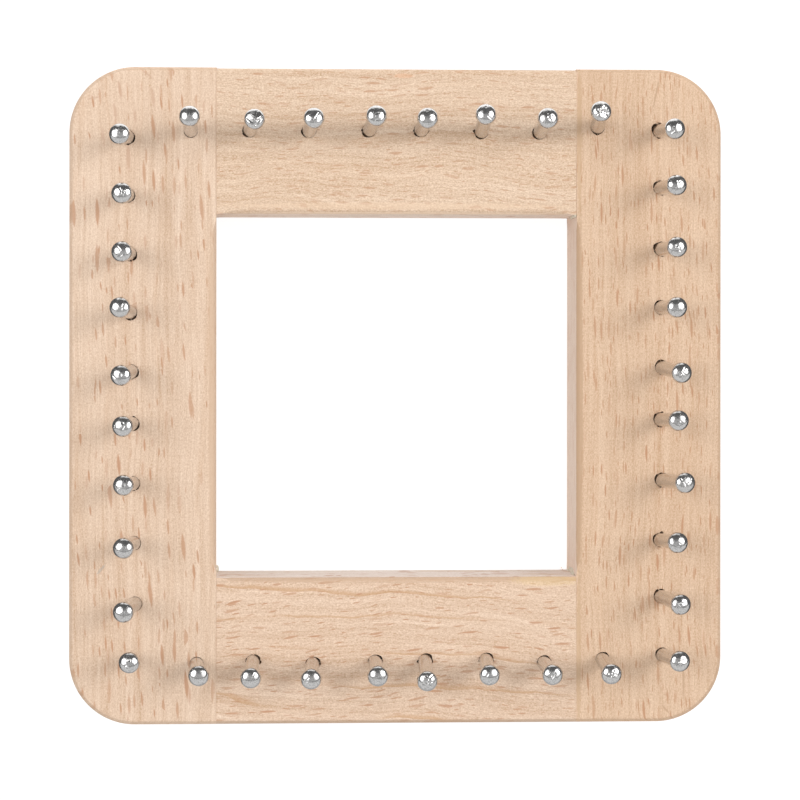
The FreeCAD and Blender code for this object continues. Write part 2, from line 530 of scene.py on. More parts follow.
class FineScratches(EffectGroup):
    """Hair-thin scratches in two directions, for polished metal."""

    NAME = "fine_scratches"
    INPUTS = ("amount",)
    OUTPUTS = ("mask",)
    AXIS = (0.35, 0.2, 0.9)
    TURNS = (0.4, 1.9)
    STREAKS = ((5.5, 0.5, 0.8), 2.0, 0.6)
    EDGE = (0.62, 0.73)

    @classmethod
    def _results(cls, bench: NodeBench, given: dict[str, Signal]) -> dict[str, Signal]:
        """Where the scratches are.

        Args:
            bench: the group's bench.
            given: its inputs by name.

        Returns:
            Its output by name.
        """
        masks = []
        for turn in cls.TURNS:
            node = bench.add("VectorRotate", rotation_type="AXIS_ANGLE")
            turned = bench.out(bench.wire(node, Vector=given["place"], Axis=cls.AXIS, Angle=turn))
            masks.append(bench.step(bench.noise(turned, *cls.STREAKS), *cls.EDGE))
        return {"mask": bench.math("MAXIMUM", *masks) * given["amount"]}


@dataclass(frozen=True)
class StainOrShade:
    """One soft spot, long ray or band of painted shade that is seen on a bar's face, in millimetres on the
    board.
    """

    EDGE = (1.35, 0.7)
    RAGGED = 0.9
    DEPTH = 1000.0

    x: float
    y: float
    long: float
    wide: float
    turn: float
    strength: float
    colour: Colour = (0.58, 0.38, 0.255)

    def lay(self, bench: NodeBench, place: Signal, ragged: Signal, under: Signal) -> Signal:
        """Lay the spot over a colour.

        Args:
            bench: the material's bench.
            place: object coordinates in millimetres, not turned.
            ragged: a noise that roughens the spot's edge.
            under: the colour below.

        Returns:
            The colour with the spot.
        """
        size, start = (self.long, self.wide, self.DEPTH), (self.x, self.y, 0.0)
        here = bench.mapped(place, "TEXTURE", self.turn, size, start)
        mask = bench.step(bench.length(here) + ragged * self.RAGGED, *self.EDGE) * self.strength
        return bench.blend(mask, under, self.colour)


@dataclass(frozen=True)
class BeechFinish:
    """Sanded, bare beech with the figure of one particular bar.

    The colour is the mean one, linear. The other numbers say how strong each part of the
    figure is, and how large and how common the ray flecks are.
    """

    LINE_SHADE = (-0.42, (0.55, 1.0, 1.5))
    RAY_SHADE = (-0.45, (0.55, 1.0, 1.25))
    # Painted shade on the rounded edges: how far it deepens the colour, and its hue
    EDGE_PAINTED_SHADE = (-0.36, (0.9, 1.0, 1.1))
    CUT_SHADES = (-0.1, -0.5)
    # Drops below the face, in millimetres, where the painted edge shade comes in and where it fades out
    EDGE_SHADE_FROM = (0.01, 0.14)
    EDGE_SHADE_TO = (2.2, 1.4)
    RAY_SINK = 0.3
    END_SINK = 0.8

    name: str
    grain: Grain
    seed: float
    colour: Colour
    fibres: float = 1.0
    ripple: float = 1.0
    stipple: float = 1.0
    waviness: float = 1.0
    slope: float = 0.0
    tilt: float = 0.0
    face: float = 18.0
    ray_width: float = 1.0
    ray_length: float = 1.0
    ray_share: float = 0.5
    ray_lean: float = 0.0
    ray_strength: float = 0.9
    line_strength: float = 0.15
    contrast: float = 0.7
    # How strongly painted shade darkens the rounded edges
    edge_painted_shade: float = 0.3
    # Real stains and rays, and bands of painted shade along the edges
    stains_and_shading: tuple[StainOrShade, ...] = ()

    def toned(self, amount: float, hue: Colour = (0.7, 1.0, 1.32)) -> Colour:
        """The mean colour made paler or deeper; the hue says how far each channel follows."""
        return tuple(max(0.0, c * (1.0 + amount * h)) for c, h in zip(self.colour, hue))

    def material(self) -> bpy.types.Material:
        """Build the material.

        Returns:
            A material that reads object coordinates.
        """
        material, bench, shader = bare_material(self.name)
        place = bench.in_millimetres(self.grain.value)
        numbers = {name: getattr(self, name) for name in BeechFigure.INPUTS}
        figure = BeechFigure.placed(bench, place, **numbers)
        facing = bench.parts(bench.out(bench.add("TexCoord"), "Normal"))[self.grain.axis]
        end = EndGrain.placed(bench, place, seed=self.seed, facing=facing)
        sawn = end["tone"] * end["mask"] * self.END_SINK
        relief = figure["grain"] - figure["rays"] * self.RAY_SINK - sawn
        bench.wire(
            shader,
            Base_Color=self._colour(bench, place, figure, end),
            Roughness=figure["grain"] * 0.12 + 0.5 - figure["rays"] * 0.06,
            Specular_IOR_Level=0.3,
            Normal=bench.bump(relief, 0.5, 0.05),
        )
        return material

    def _colour(
        self, bench: NodeBench, place: Signal, figure: dict[str, Signal], end: dict[str, Signal]
    ) -> Signal:
        """The base colour: toned wood, growth lines and rays, painted shade on the rounded edges, stains and
        bands of painted shade, then the end grain.

        Args:
            bench: the material's bench.
            place: object coordinates in millimetres, with the fibres along Y.
            figure: what the beech figure gives.
            end: what the end grain gives.

        Returns:
            The colour.
        """
        half = self.contrast / 2
        colour = bench.blend(figure["tone"], self.toned(-half), self.toned(half))
        lines, rays = figure["lines"] * self.line_strength, figure["rays"] * self.ray_strength
        colour = bench.blend(lines, colour, self.toned(*self.LINE_SHADE))
        colour = bench.blend(rays, colour, self.toned(*self.RAY_SHADE))
        # Painted shade: the rounded edges, from just below the face down their slope, are darkened as shade
        drop = self.face - bench.parts(place)[2]
        edge = bench.step(drop, *self.EDGE_SHADE_FROM) * bench.step(drop, *self.EDGE_SHADE_TO)
        colour = bench.blend(edge * self.edge_painted_shade, colour, self.toned(*self.EDGE_PAINTED_SHADE))
        # Stains, rays and bands of painted shade, laid one over another
        if self.stains_and_shading:
            level = bench.in_millimetres()
            ragged = bench.noise(level, 1.6, 2.0, 0.6) - 0.5
            for stain_or_shade in self.stains_and_shading:
                colour = stain_or_shade.lay(bench, level, ragged, colour)
        sawn_across = bench.blend(end["tone"], *(self.toned(shade) for shade in self.CUT_SHADES))
        return bench.blend(end["mask"], colour, sawn_across)


@dataclass(frozen=True)
class GlueFinish:
    """Dried joiner's glue: pale, a little glossy, yellowed in places."""

    name: str = "dried_glue"
    pale: Colour = (0.78, 0.72, 0.60)
    yellowed: Colour = (0.60, 0.52, 0.40)

    def material(self) -> bpy.types.Material:
        """Build the material.

        Returns:
            A soft-looking plastic with mottled colour and a bubbly surface.
        """
        material, bench, shader = bare_material(self.name)
        place = bench.in_millimetres()
        mottle = bench.step(bench.noise(place, 1.7, 3.0, 0.6), 0.35, 0.65)
        bench.wire(
            shader,
            Base_Color=bench.blend(mottle, self.pale, self.yellowed),
            Roughness=mottle * 0.25 + 0.28,
            Normal=bench.bump(bench.noise(place, 5.0, 2.0), 0.6, 0.08),
        )
        return material


@dataclass(frozen=True)
class SteelFinish:
    """Bright steel, drawn and polished, then knocked about a little."""

    name: str = "polished_pin_steel"
    colour: Colour = (0.74, 0.73, 0.72)
    worn: float = 0.7
    roughness: float = 0.155
    scratch: float = 0.8

    def material(self) -> bpy.types.Material:
        """Build the material.

        Returns:
            A metal whose dull patches and scratches follow object coordinates.
        """
        material, bench, shader = bare_material(self.name)
        place = bench.in_millimetres()
        scratches = FineScratches.placed(bench, place, amount=self.scratch)["mask"]
        dull = bench.step(bench.noise(place, 0.8, 3.0, 0.6), 0.45, 0.75)
        specks = bench.step(bench.noise(place, 3.0, 2.0, 0.7), 0.42, 0.68)
        worn = tuple(self.worn * c for c in self.colour)
        bench.wire(
            shader,
            Base_Color=bench.blend(dull * 0.4 + specks * 0.6, self.colour, worn),
            Metallic=1.0,
            Roughness=dull * 0.09 + self.roughness + scratches * 0.16,
            Normal=bench.bump(bench.noise(place, 2.2, 2.0) * 0.6 - scratches, 0.5, 0.014),
        )
        return material


# Shaping


def tip_over(way: Vector) -> Matrix:
    """The turn that lays an upright thing along a direction."""
    return UP.rotation_difference(way).to_matrix().to_4x4()


def as_mesh(solid: Solid, name: str) -> bpy.types.Mesh:
    """Make a mesh from a solid.

    Args:
        solid: the shape, which is used up.
        name: the mesh's name.

    Returns:
        The mesh.
    """
    mesh = bpy.data.meshes.new(name)
    solid.to_mesh(mesh)
    solid.free()
    return mesh


def as_object(name: str, data: bpy.types.ID) -> bpy.types.Object:
    """Put something into the scene.

    Args:
        name: its name.
        data: a mesh, a lamp or a camera.

    Returns:
        Its object.
    """
    thing = bpy.data.objects.new(name, data)
    bpy.context.scene.collection.objects.link(thing)
    return thing


def plan_face(solid: Solid) -> bmesh.types.BMFace:
    """The one face of a flat plan, made to look down.

    Args:
        solid: the plan.

    Returns:
        The face.
    """
    face = solid.faces[:][0]
    if face.normal.z > 0:
        face.normal_flip()
    return face


def extrude_up(solid: Solid, face: bmesh.types.BMFace, height: float) -> bmesh.types.BMFace:
    """Draw a face up.

    Args:
        solid: the solid that it is part of.
        face: the face.
        height: how far.

    Returns:
        The new end face.
    """
    drawn = bmesh.ops.extrude_face_region(solid, geom=[face, *face.edges, *face.verts])["geom"]
    end = next(item for item in drawn if isinstance(item, bmesh.types.BMFace))
    bmesh.ops.translate(solid, vec=UP * height, verts=end.verts)
    return end


def bevel(solid: Solid, parts: list, size: float, segments: int, affect: str = "EDGES") -> None:
    """Round or chamfer edges, or the corners of a plan."""
    form = {"offset_type": "OFFSET", "profile": 0.5, "material": -1}
    bmesh.ops.bevel(solid, geom=parts, offset=size, segments=segments, affect=affect, **form)


def cut(stock: Solid, tool: Solid) -> Solid:
    """Take a tool's space out of a stock.

    Args:
        stock: the solid to be cut, which is used up.
        tool: a solid, or several that may overlap, which is used up.

    Returns:
        What is left of the stock.
    """
    body = as_object("stock", as_mesh(stock, "stock"))
    cutter = as_object("tool", as_mesh(tool, "tool"))
    cutting = body.modifiers.new("cut", "BOOLEAN")
    cutting.operation = "DIFFERENCE"
    cutting.solver = "EXACT"
    cutting.use_self = True
    cutting.object = cutter
    evaluated = body.evaluated_get(bpy.context.evaluated_depsgraph_get())
    left = bpy.data.meshes.new_from_object(evaluated)
    result = bmesh.new()
    result.from_mesh(left)
    used = (body.data, cutter.data, left)
    for thing in (body, cutter):
        bpy.data.objects.remove(thing)
    for mesh in used:
        bpy.data.meshes.remove(mesh)
    bmesh.ops.remove_doubles(result, verts=result.verts, dist=MERGE)
    return result


def finish(solid: Solid, name: str, materials: list[bpy.types.Material], crease: float) -> bpy.types.Object:
    """Make the finished piece from a solid in millimetres.

    Args:
        solid: the shape, which is used up.
        name: the piece's name.
        materials: its materials, in the order of its faces' indices.
        crease: edges sharper than this many degrees stay sharp.

    Returns:
        The object, at the origin and unscaled.
    """
    bmesh.ops.transform(solid, matrix=Matrix.Scale(MM, 4), verts=solid.verts)
    for face in solid.faces:
        face.smooth = True
    mesh = as_mesh(solid, name)
    mesh.set_sharp_from_angle(angle=math.radians(crease))
    for material in materials:
        mesh.materials.append(material)
    return as_object(name, mesh)


@dataclass
class PinSeat:
    """Where one pin stands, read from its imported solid, in millimetres."""

    name: str
    foot: Vector
    axis: Vector

    @classmethod
    def of_node(cls, name: str, top: float, tip: float = 1.2) -> "PinSeat":
        """Read a pin's axis from its solid.

        Args:
            name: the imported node.
            top: the height of the wood's face.
            tip: how much of the pin's lower end gives the middle of its foot.

        Returns:
            The seat, with the foot where the axis leaves the wood.
        """
        points = [vertex.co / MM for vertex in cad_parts[name].data.vertices]
        lowest = min(point.z for point in points)
        base = [point for point in points if point.z < lowest + tip]
        middle = sum(base, Vector()) / len(base)
        crown = max(points, key=lambda point: (point - middle).length)
        axis = (crown - middle).normalized()
        return cls(name, middle + axis * ((top - middle.z) / axis.z), axis)

    def listed(self, rows: dict[str, tuple]) -> tuple:
        """What a table of the four rows, each in order, says of this pin."""
        side, _, number = self.name.split("_")
        return rows[side][int(number) - 1]


@dataclass(frozen=True)
class Mouth:
    """A hole's mouth: how torn it is, how far it gapes in millimetres, and which way.

    The way is its swing, in degrees from inward.
    """

    tear: float = 0.4
    gap: float = 0.17
    swing: float = -38.0


# The mouths of each row, from the top down or from the left. An empty one is the usual one
MOUTHS = {
    "left": (
        (0.7, 0.18), (0.5, 0.1), (0.8, 0.25), (0.6, 0.27), (0.4, 0.2),
        (0.4, 0.2), (0.4, 0.1), (0.3, 0.05), (0.2, 0.03), (),
    ),
    "right": (
        (1.2, 0.48, -12.0), (0.7, 0.23), (0.8, 0.34, -30.0), (), (0.5, 0.26, -30.0),
        (1.0, 0.2), (0.8, 0.27), (0.9, 0.15), (0.4, 0.22), (),
    ),
    "top": (
        (0.2, 0.05), (0.4, 0.26, -26.0), (0.6, 0.13), (0.5, 0.28, -14.0),
        (0.9, 0.1), (0.9, 0.18), (0.4, 0.2), (0.5, 0.13),
    ),
    "bottom": (
        (0.2, 0.04), (1.0, 0.22, -26.0), (0.4, 0.25), (0.4, 0.22),
        (1.0, 0.32), (0.8, 0.2), (), (0.4, 0.13),
    ),
}


@dataclass(frozen=True)
class Sliver:
    """A thin splinter that stands out of the wood: its root, its way, its length and its end radii.

    Its middle stands off the root by the share of its length that its rise gives.
    """

    root: Vector
    way: Vector
    length: float
    thick: float = 0.06
    tip: float = 0.024
    sides: int = 6
    rise: float = 0.4

    def add_to(self, solid: Solid) -> None:
        """Add the splinter to a bar.

        Args:
            solid: the bar.
        """
        grown = bmesh.ops.create_cone(
            solid, cap_ends=True, segments=self.sides, radius1=self.thick, radius2=self.tip, depth=self.length
        )["verts"]
        bmesh.ops.translate(solid, vec=UP * (self.length * self.rise), verts=grown)
        bmesh.ops.transform(solid, matrix=tip_over(self.way), verts=grown)
        bmesh.ops.translate(solid, vec=self.root, verts=grown)


@dataclass
class DrilledHole:
    """A hole for one pin, with the ragged mouth that a drill leaves in beech.

    Its slack off the pin's axis is a least amount and a share of the mouth's gap. Levels are
    heights above the wood's face, from the bottom up.
    """

    seat: PinSeat
    grain: Grain
    radius: float = 1.63
    fit: float = 1.612
    levels: tuple[float, ...] = (-12.0, -4.0, -2.2, -1.3, -0.5, 0.06, 3.0)
    mouth_depth: float = 2.2
    roughness: float = 0.025
    fineness: float = 1.3
    swing_spread: float = 7.0
    least_slack: float = 0.01
    gap_slack: float = 0.25
    sides: int = 44
    mouth: Mouth = field(init=False)
    open_way: Vector = field(init=False)
    slack: Vector = field(init=False)

    def __post_init__(self) -> None:
        """Look up the mouth, and find which way and how far it stands open off the pin's axis."""
        self.mouth = Mouth(*self.seat.listed(MOUTHS))
        inward = Vector((-self.seat.axis.x, -self.seat.axis.y, 0.0)).normalized()
        swing = random.Random(self.seat.name + " swing").gauss(self.mouth.swing, self.swing_spread)
        self.open_way = Matrix.Rotation(math.radians(swing), 3, "Z") @ inward
        self.slack = self.open_way * (self.least_slack + self.gap_slack * self.mouth.gap)

    def cutter(self) -> Solid:
        """The solid that the drill takes out.

        Returns:
            A bmesh in millimetres.
        """
        rand = random.Random(self.seat.name)
        solid = bmesh.new()
        bmesh.ops.create_circle(solid, cap_ends=True, radius=self.radius, segments=self.sides)
        face = plan_face(solid)
        bmesh.ops.translate(solid, vec=UP * self.levels[0], verts=solid.verts)
        shake = Vector((rand.uniform(0, 50), rand.uniform(0, 50), 0.0))
        nicks = self._nicks(rand)
        bends = []
        for low, high in zip(self.levels, self.levels[1:]):
            face = extrude_up(solid, face, high - low)
            bends.append((face.verts[:], self._tear(face, high, nicks, shake)))
        bmesh.ops.transform(solid, matrix=tip_over(self.seat.axis), verts=solid.verts)
        for verts, near in bends:
            bmesh.ops.translate(solid, vec=self.slack * near, verts=verts)
        bmesh.ops.translate(solid, vec=self.seat.foot, verts=solid.verts)
        bmesh.ops.recalc_face_normals(solid, faces=solid.faces)
        return solid

    def _nicks(self, rand: random.Random) -> list[tuple[float, float, float]]:
        """The mouth's nicks, most of them at the ends of cut fibres.

        Args:
            rand: the hole's own random draws.

        Returns:
            The direction, size and spread of each nick.
        """
        along = 90.0 - self.grain.value
        tear, gap = self.mouth.tear, self.mouth.gap
        nicks = [
            (along + side + rand.gauss(0.0, 16.0), rand.uniform(0.08, 0.3) * tear, rand.uniform(6.0, 12.0))
            for side in (0.0, 180.0, 0.0, 180.0)
        ]
        open_side = math.degrees(math.atan2(self.open_way.y, self.open_way.x))
        nicks.append((open_side, 0.85 * gap, 34.0))
        nicks.append((open_side + rand.gauss(0.0, 12.0), 0.1 * tear, 9.0))
        return nicks

    def _tear(self, face: bmesh.types.BMFace, height: float, nicks: list[tuple], shake: Vector) -> float:
        """Widen one ring of the drill's space by what is torn off.

        Args:
            face: the face that the ring bounds.
            height: its height above the wood's face.
            nicks: the mouth's nicks.
            shake: what makes this hole's roughness its own.

        Returns:
            How near the mouth it is, from 0 in the depth to 1 at the face.
        """
        near = max(0.0, 1.0 + min(height, 0.0) / self.mouth_depth)
        radius = self.fit + (self.radius - self.fit) * near
        for vertex in face.verts:
            turn = math.degrees(math.atan2(vertex.co.y, vertex.co.x))
            place = Vector((vertex.co.x, vertex.co.y, height))
            out = self.roughness * near * abs(noise.noise(place * self.fineness + shake))
            for where, size, spread in nicks:
                gap = (turn - where + 180.0) % 360.0 - 180.0
                out += near * size * math.exp(-((gap / spread) ** 2))
            flat = Vector((vertex.co.x, vertex.co.y, 0.0)).normalized() * (radius + out)
            vertex.co = (flat.x, flat.y, vertex.co.z)
        return near

    def fibres(self, solid: Solid) -> None:
        """Stand a few torn fibres up at the mouth, on the open side.

        Args:
            solid: the bar, to which they are added.
        """
        rand = random.Random(self.seat.name + " fibres")
        inward = self.open_way
        for _ in range(round(self.mouth.tear * 4)):
            along = self.grain.way * rand.choice((-1.0, 1.0))
            long = rand.uniform(0.5, 1.1)
            thick = rand.uniform(0.05, 0.1)
            lean = along * rand.uniform(0.7, 1.2) + inward * rand.uniform(-0.4, 0.5)
            lean += UP * rand.uniform(0.12, 0.5)
            edge = (along * rand.uniform(0.4, 0.95) + inward * rand.uniform(0.2, 0.9)).normalized()
            root = self.seat.foot + self.slack + edge * (self.radius - 0.02) - UP * 0.04
            Sliver(root, lean.normalized(), long, thick, tip=0.01, sides=5, rise=0.5).add_to(solid)


@dataclass(frozen=True)
class GlueBead:
    """A lump of squeezed-out glue: its middle and its three half sizes, in millimetres."""

    UNEVEN = 0.3
    FINENESS = 1.4

    middle: tuple[float, float, float]
    reach: tuple[float, float, float]

    def add_to(self, solid: Solid) -> None:
        """Add the lump to a bar.

        Args:
            solid: the bar.
        """
        verts = bmesh.ops.create_icosphere(solid, subdivisions=3, radius=1.0)["verts"]
        shake = Vector(self.middle)
        for vertex in verts:
            vertex.co *= 1.0 + self.UNEVEN * noise.noise(vertex.co * self.FINENESS + shake)
            vertex.co = Vector(c * r for c, r in zip(vertex.co, self.reach)) + shake
            for face in vertex.link_faces:
                face.material_index = Surface.GLUE


@dataclass
class BarShape:
    """The sizes that all four bars share, in millimetres.

    Wall margin and steepness tell the window's walls from the other faces. A point of the
    window's outline that is nearer than at_corner to a corner belongs to it.
    """

    corner_radius: float = 15.0
    corner_segments: int = 28
    arris_radius: float = 1.2
    arris_segments: int = 6
    underside_chamfer: float = 0.6
    joint_ease: float = 0.13
    window_clearance: float = 0.02
    corner_distances: tuple[float, ...] = (0.0, 0.6, 1.2, 1.9, 2.7, 3.6, 4.8)
    corner_fade: tuple[float, float] = (0.7, 4.2)
    at_corner: float = 0.3
    left_undercut: float = 0.42
    wall_margin: float = 0.12
    wall_steepness: float = 0.25
    least_pin_gap: float = 4.0
    crease: float = 32.0

    def fade(self, distance: float) -> float:
        """How much of the window's arris there is near a corner.

        Args:
            distance: how far the corner is.

        Returns:
            A share from 0 to 1.
        """
        low, high = self.corner_fade
        share = min(1.0, max(0.0, (distance - low) / (high - low)))
        return share * share * (3.0 - 2.0 * share)


@dataclass
class Bar:
    """One bar of the board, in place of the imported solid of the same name."""

    # Shares of the bar's own colour and of the paler colour of painted light in the window's walls
    WALL_LIGHT_SHARES = (0.45, 0.55)
    WALL_CONTRAST = 0.45

    finish: BeechFinish
    node: str
    seats: list[PinSeat]
    window: tuple[float, float]
    shape: BarShape = field(default_factory=BarShape)
    setback: float = 0.0
    # The paler, greyer colour that the window's walls lean towards: painted light from the bright table
    wall_painted_light: Colour = (0.86, 0.80, 0.74)
    lumps: list[GlueBead] = field(default_factory=list)
    slivers: list[Sliver] = field(default_factory=list)
    low: Vector = field(init=False)
    high: Vector = field(init=False)
    middle: Vector = field(init=False)
    out: Vector = field(init=False)
    half_wide: float = field(init=False)
    stile: bool = field(init=False)
    holes: list[DrilledHole] = field(init=False)

    def __post_init__(self) -> None:
        """Take the bar's box from the frame, find which way is out, and mark out its holes."""
        self.low, self.high = (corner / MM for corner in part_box(self.node))
        self.middle = (self.low + self.high) / 2
        self.stile = self.finish.grain is Grain.ALONG_Y
        across = 0 if self.stile else 1
        self.out = Vector()
        self.out[across] = math.copysign(1.0, self.middle[across])
        self.half_wide = (self.high - self.low)[across] / 2
        mine = [s for s in self.seats if all(self.low[i] < s.foot[i] < self.high[i] for i in (0, 1))]
        self.holes = [DrilledHole(seat, self.finish.grain) for seat in mine]

    def build(self) -> bpy.types.Object:
        """Shape the bar, drill it and dress it.

        Returns:
            The finished piece.
        """
        solid = cut(cut(self._blank(), self._window_cutter()), self._drillings())
        self._window_walls(solid)
        for hole in self.holes:
            hole.fibres(solid)
        for extra in (*self.lumps, *self.slivers):
            extra.add_to(solid)
        materials = [self.finish.material(), self._wall_finish().material()]
        if self.lumps:
            materials.append(GlueFinish(self.node + "_glue").material())
        piece = finish(solid, self.node + "_wood", materials, self.shape.crease)
        piece.modifiers.new("broad_faces", "WEIGHTED_NORMAL").keep_sharp = True
        return piece

    def _wall_finish(self) -> BeechFinish:
        """The window's walls: the same wood as the face, with less contrast, made paler and greyer as painted
        light from the bright table.

        Returns:
            Their finish.
        """
        # Painted light: the walls' colour is blended towards the paler one
        wood, pale = self.WALL_LIGHT_SHARES
        colour = tuple(wood * c + pale * p for c, p in zip(self.finish.colour, self.wall_painted_light))
        changes = {"colour": colour, "contrast": self.WALL_CONTRAST, "edge_painted_shade": 0.0, "stains_and_shading": ()}
        return replace(self.finish, name=self.node + "_sawn", **changes)

    def _window_walls(self, solid: Solid) -> None:
        """Give the faces of the window's walls their own material.

        Args:
            solid: the bar.
        """
        half_x, half_y = (half + self.shape.wall_margin for half in self.window)
        solid.normal_update()
        for face in solid.faces:
            middle = face.calc_center_median()
            inside = abs(middle.x) < half_x + self.shape.left_undercut and abs(middle.y) < half_y
            upright = abs(face.normal.z) < self.shape.wall_steepness
            face.material_index = Surface.WINDOW_WALL if inside and upright else Surface.FACE

    def _beyond(self, vertex: bmesh.types.BMVert) -> float:
        """How far a vertex is from the middle of the bar, away from the board's."""
        return (vertex.co - self.middle).dot(self.out)

    def _blank(self) -> Solid:
        """The bar before it is cut: its plan drawn up, its outer edges rounded over.

        Returns:
            The solid.
        """
        size = self.high - self.low
        solid = bmesh.new()
        bmesh.ops.create_grid(solid, x_segments=1, y_segments=1, size=0.5)
        bmesh.ops.scale(solid, vec=Vector((size.x, size.y, 1.0)), verts=solid.verts)
        bmesh.ops.translate(solid, vec=Vector((self.middle.x, self.middle.y, 0.0)), verts=solid.verts)
        far = [v for v in solid.verts if self._beyond(v) > 0]
        bmesh.ops.translate(solid, vec=-self.out * self.setback, verts=far)
        if self.stile:
            bevel(solid, far, self.shape.corner_radius, self.shape.corner_segments, "VERTICES")
        extrude_up(solid, plan_face(solid), self.high.z)
        bmesh.ops.recalc_face_normals(solid, faces=solid.faces)
        self._ease(solid)
        self._part_between_pins(solid)
        return solid

    def _ease(self, solid: Solid) -> None:
        """Round the upper outer edges, chamfer the lower ones, and just break those at the joints.

        Args:
            solid: the bar.
        """
        shape, top = self.shape, self.high.z
        reaches = any if self.stile else all
        worked = ((top, shape.arris_radius, shape.arris_segments), (0.0, shape.underside_chamfer, 1))
        for height, size, steps in worked:
            level = self._level_edges(solid, height)
            outer = [e for e in level if reaches(self._beyond(v) > TOUCH - self.half_wide for v in e.verts)]
            bevel(solid, outer, size, steps)
        sides = ((self.middle - self.out * self.half_wide).x,) if self.stile else (self.low.x, self.high.x)
        joints = [
            edge
            for edge in self._level_edges(solid, top)
            if any(abs(sum(v.co.x for v in edge.verts) / 2 - side) < TOUCH for side in sides)
        ]
        bevel(solid, joints, shape.joint_ease, 2)

    @staticmethod
    def _level_edges(solid: Solid, height: float) -> list[bmesh.types.BMEdge]:
        """The edges that lie at a height."""
        return [edge for edge in solid.edges if all(abs(v.co.z - height) < TOUCH for v in edge.verts)]

    def _part_between_pins(self, solid: Solid) -> None:
        """Run an edge round the bar midway between neighbouring pins, so that no face has two holes.

        Args:
            solid: the bar.
        """
        grain = self.finish.grain
        feet = sorted(hole.seat.foot[grain.axis] for hole in self.holes)
        for one, other in zip(feet, feet[1:]):
            if other - one > self.shape.least_pin_gap:
                parts = solid.verts[:] + solid.edges[:] + solid.faces[:]
                place = grain.way * ((one + other) / 2)
                bmesh.ops.bisect_plane(solid, geom=parts, plane_co=place, plane_no=grain.way)

    def _window_cutter(self) -> Solid:
        """The window's space, flared at the top and bottom as its edges are worked.

        Returns:
            The solid.
        """
        halves = [half + self.shape.window_clearance for half in self.window]
        rounding, chamfer = self.shape.arris_radius, self.shape.underside_chamfer
        wall_top = self.high.z - rounding
        steps = [(-1.0, chamfer + 1.0), (chamfer, 0.0)]
        for i in range(self.shape.arris_segments + 1):
            turn = math.pi / 2 * i / self.shape.arris_segments
            steps.append((wall_top + rounding * math.sin(turn), rounding - rounding * math.cos(turn)))
        steps.append((self.high.z + 1.0, rounding + 1.0))
        solid = self._window_plan(halves, steps[0][0])
        face = plan_face(solid)
        self._flare(face, halves, steps[0][1])
        for (low, _), (high, flare) in zip(steps, steps[1:]):
            face = extrude_up(solid, face, high - low)
            self._flare(face, halves, flare)
        for vertex in solid.verts:
            if vertex.co.x < 0.0 and vertex.co.z < wall_top:
                vertex.co.x -= self.shape.left_undercut * (1.0 - vertex.co.z / wall_top)
        bmesh.ops.triangulate(solid, faces=[f for f in solid.faces if len(f.verts) == 4])
        bmesh.ops.recalc_face_normals(solid, faces=solid.faces)
        return solid

    def _window_plan(self, halves: list[float], height: float) -> Solid:
        """The window's outline, with more points near its corners, where its arris fades.

        Args:
            halves: half the window's width and length.
            height: where the outline lies.

        Returns:
            The flat outline.
        """
        half_x, half_y = halves
        near = self.shape.corner_distances
        count = 2 * len(near) - 1
        solid = bmesh.new()
        bmesh.ops.create_circle(solid, cap_ends=True, radius=1.0, segments=4 * count)
        for i, vertex in enumerate(solid.verts):
            side, station = divmod(i, count)
            length = 2.0 * halves[side % 2]
            gone = near[station] if station < len(near) else length - near[count - station]
            x, y = (half_x - gone, half_y) if side % 2 == 0 else (-half_x, half_y - gone)
            vertex.co = (x, y, height) if side < 2 else (-x, -y, height)
        return solid

    def _flare(self, face: bmesh.types.BMFace, halves: list[float], flare: float) -> None:
        """Push a loop of the window's cutter outward, by less near its corners.

        Args:
            face: the face that the loop bounds.
            halves: half the window's width and length.
            flare: how far.
        """
        for vertex in face.verts:
            for i, (half, other) in enumerate((halves, halves[::-1])):
                away = other - abs(vertex.co[1 - i])
                if away > self.shape.at_corner:
                    vertex.co[i] = math.copysign(half + flare * self.shape.fade(away), vertex.co[i])
                    break

    def _drillings(self) -> Solid:
        """All the bar's holes as one tool.

        Returns:
            The solids that the drill takes out.
        """
        tool = bmesh.new()
        for hole in self.holes:
            mesh = as_mesh(hole.cutter(), "drilling")
            tool.from_mesh(mesh)
            bpy.data.meshes.remove(mesh)
        return tool


@dataclass(frozen=True)
class Mark:
    """One blemish on a pin's head. Places and sizes are shares of the head's radius, seen from above.

    The rim is the raised edge of a dent, in shares of the dent's depth and size.
    """

    RIM_HEIGHT = 0.35
    RIM_RADIUS = 1.5
    RIM_WIDTH = 0.5

    kind: Blemish
    x: float
    y: float
    turn: float
    length: float
    width: float
    depth: float
    lean: float = 0.0

    def sink(self, x: float, y: float) -> float:
        """How far the surface lies lower at a place.

        Args:
            x, y: the place, as shares of the head's radius.

        Returns:
            A share of the head's radius.
        """
        turn = math.radians(self.turn)
        along = (x - self.x) * math.cos(turn) + (y - self.y) * math.sin(turn)
        across = -(x - self.x) * math.sin(turn) + (y - self.y) * math.cos(turn)
        away = math.hypot(along / self.length, across / self.width)
        if self.kind is Blemish.SLOT:
            beyond = max(0.0, abs(along) - self.length)
            return self.depth * math.exp(-((math.hypot(beyond, across) / self.width) ** 2))
        if self.kind is Blemish.RING:
            off = math.hypot(along / self.length, across / self.length) - 1.0
            return self.depth * math.exp(-((off * self.length / self.width) ** 2))
        if self.kind is Blemish.FACET:
            return max(0.0, 1.0 - away**4) * (self.depth + self.lean * along)
        rim = self.RIM_HEIGHT * math.exp(-(((away - self.RIM_RADIUS) / self.RIM_WIDTH) ** 2))
        return self.depth * (math.exp(-(away**2)) - rim)


def dent(x: float, y: float, size: float, depth: float) -> Mark:
    """A small round dent."""
    return Mark(Blemish.DENT, x, y, 0.0, size, size, depth)


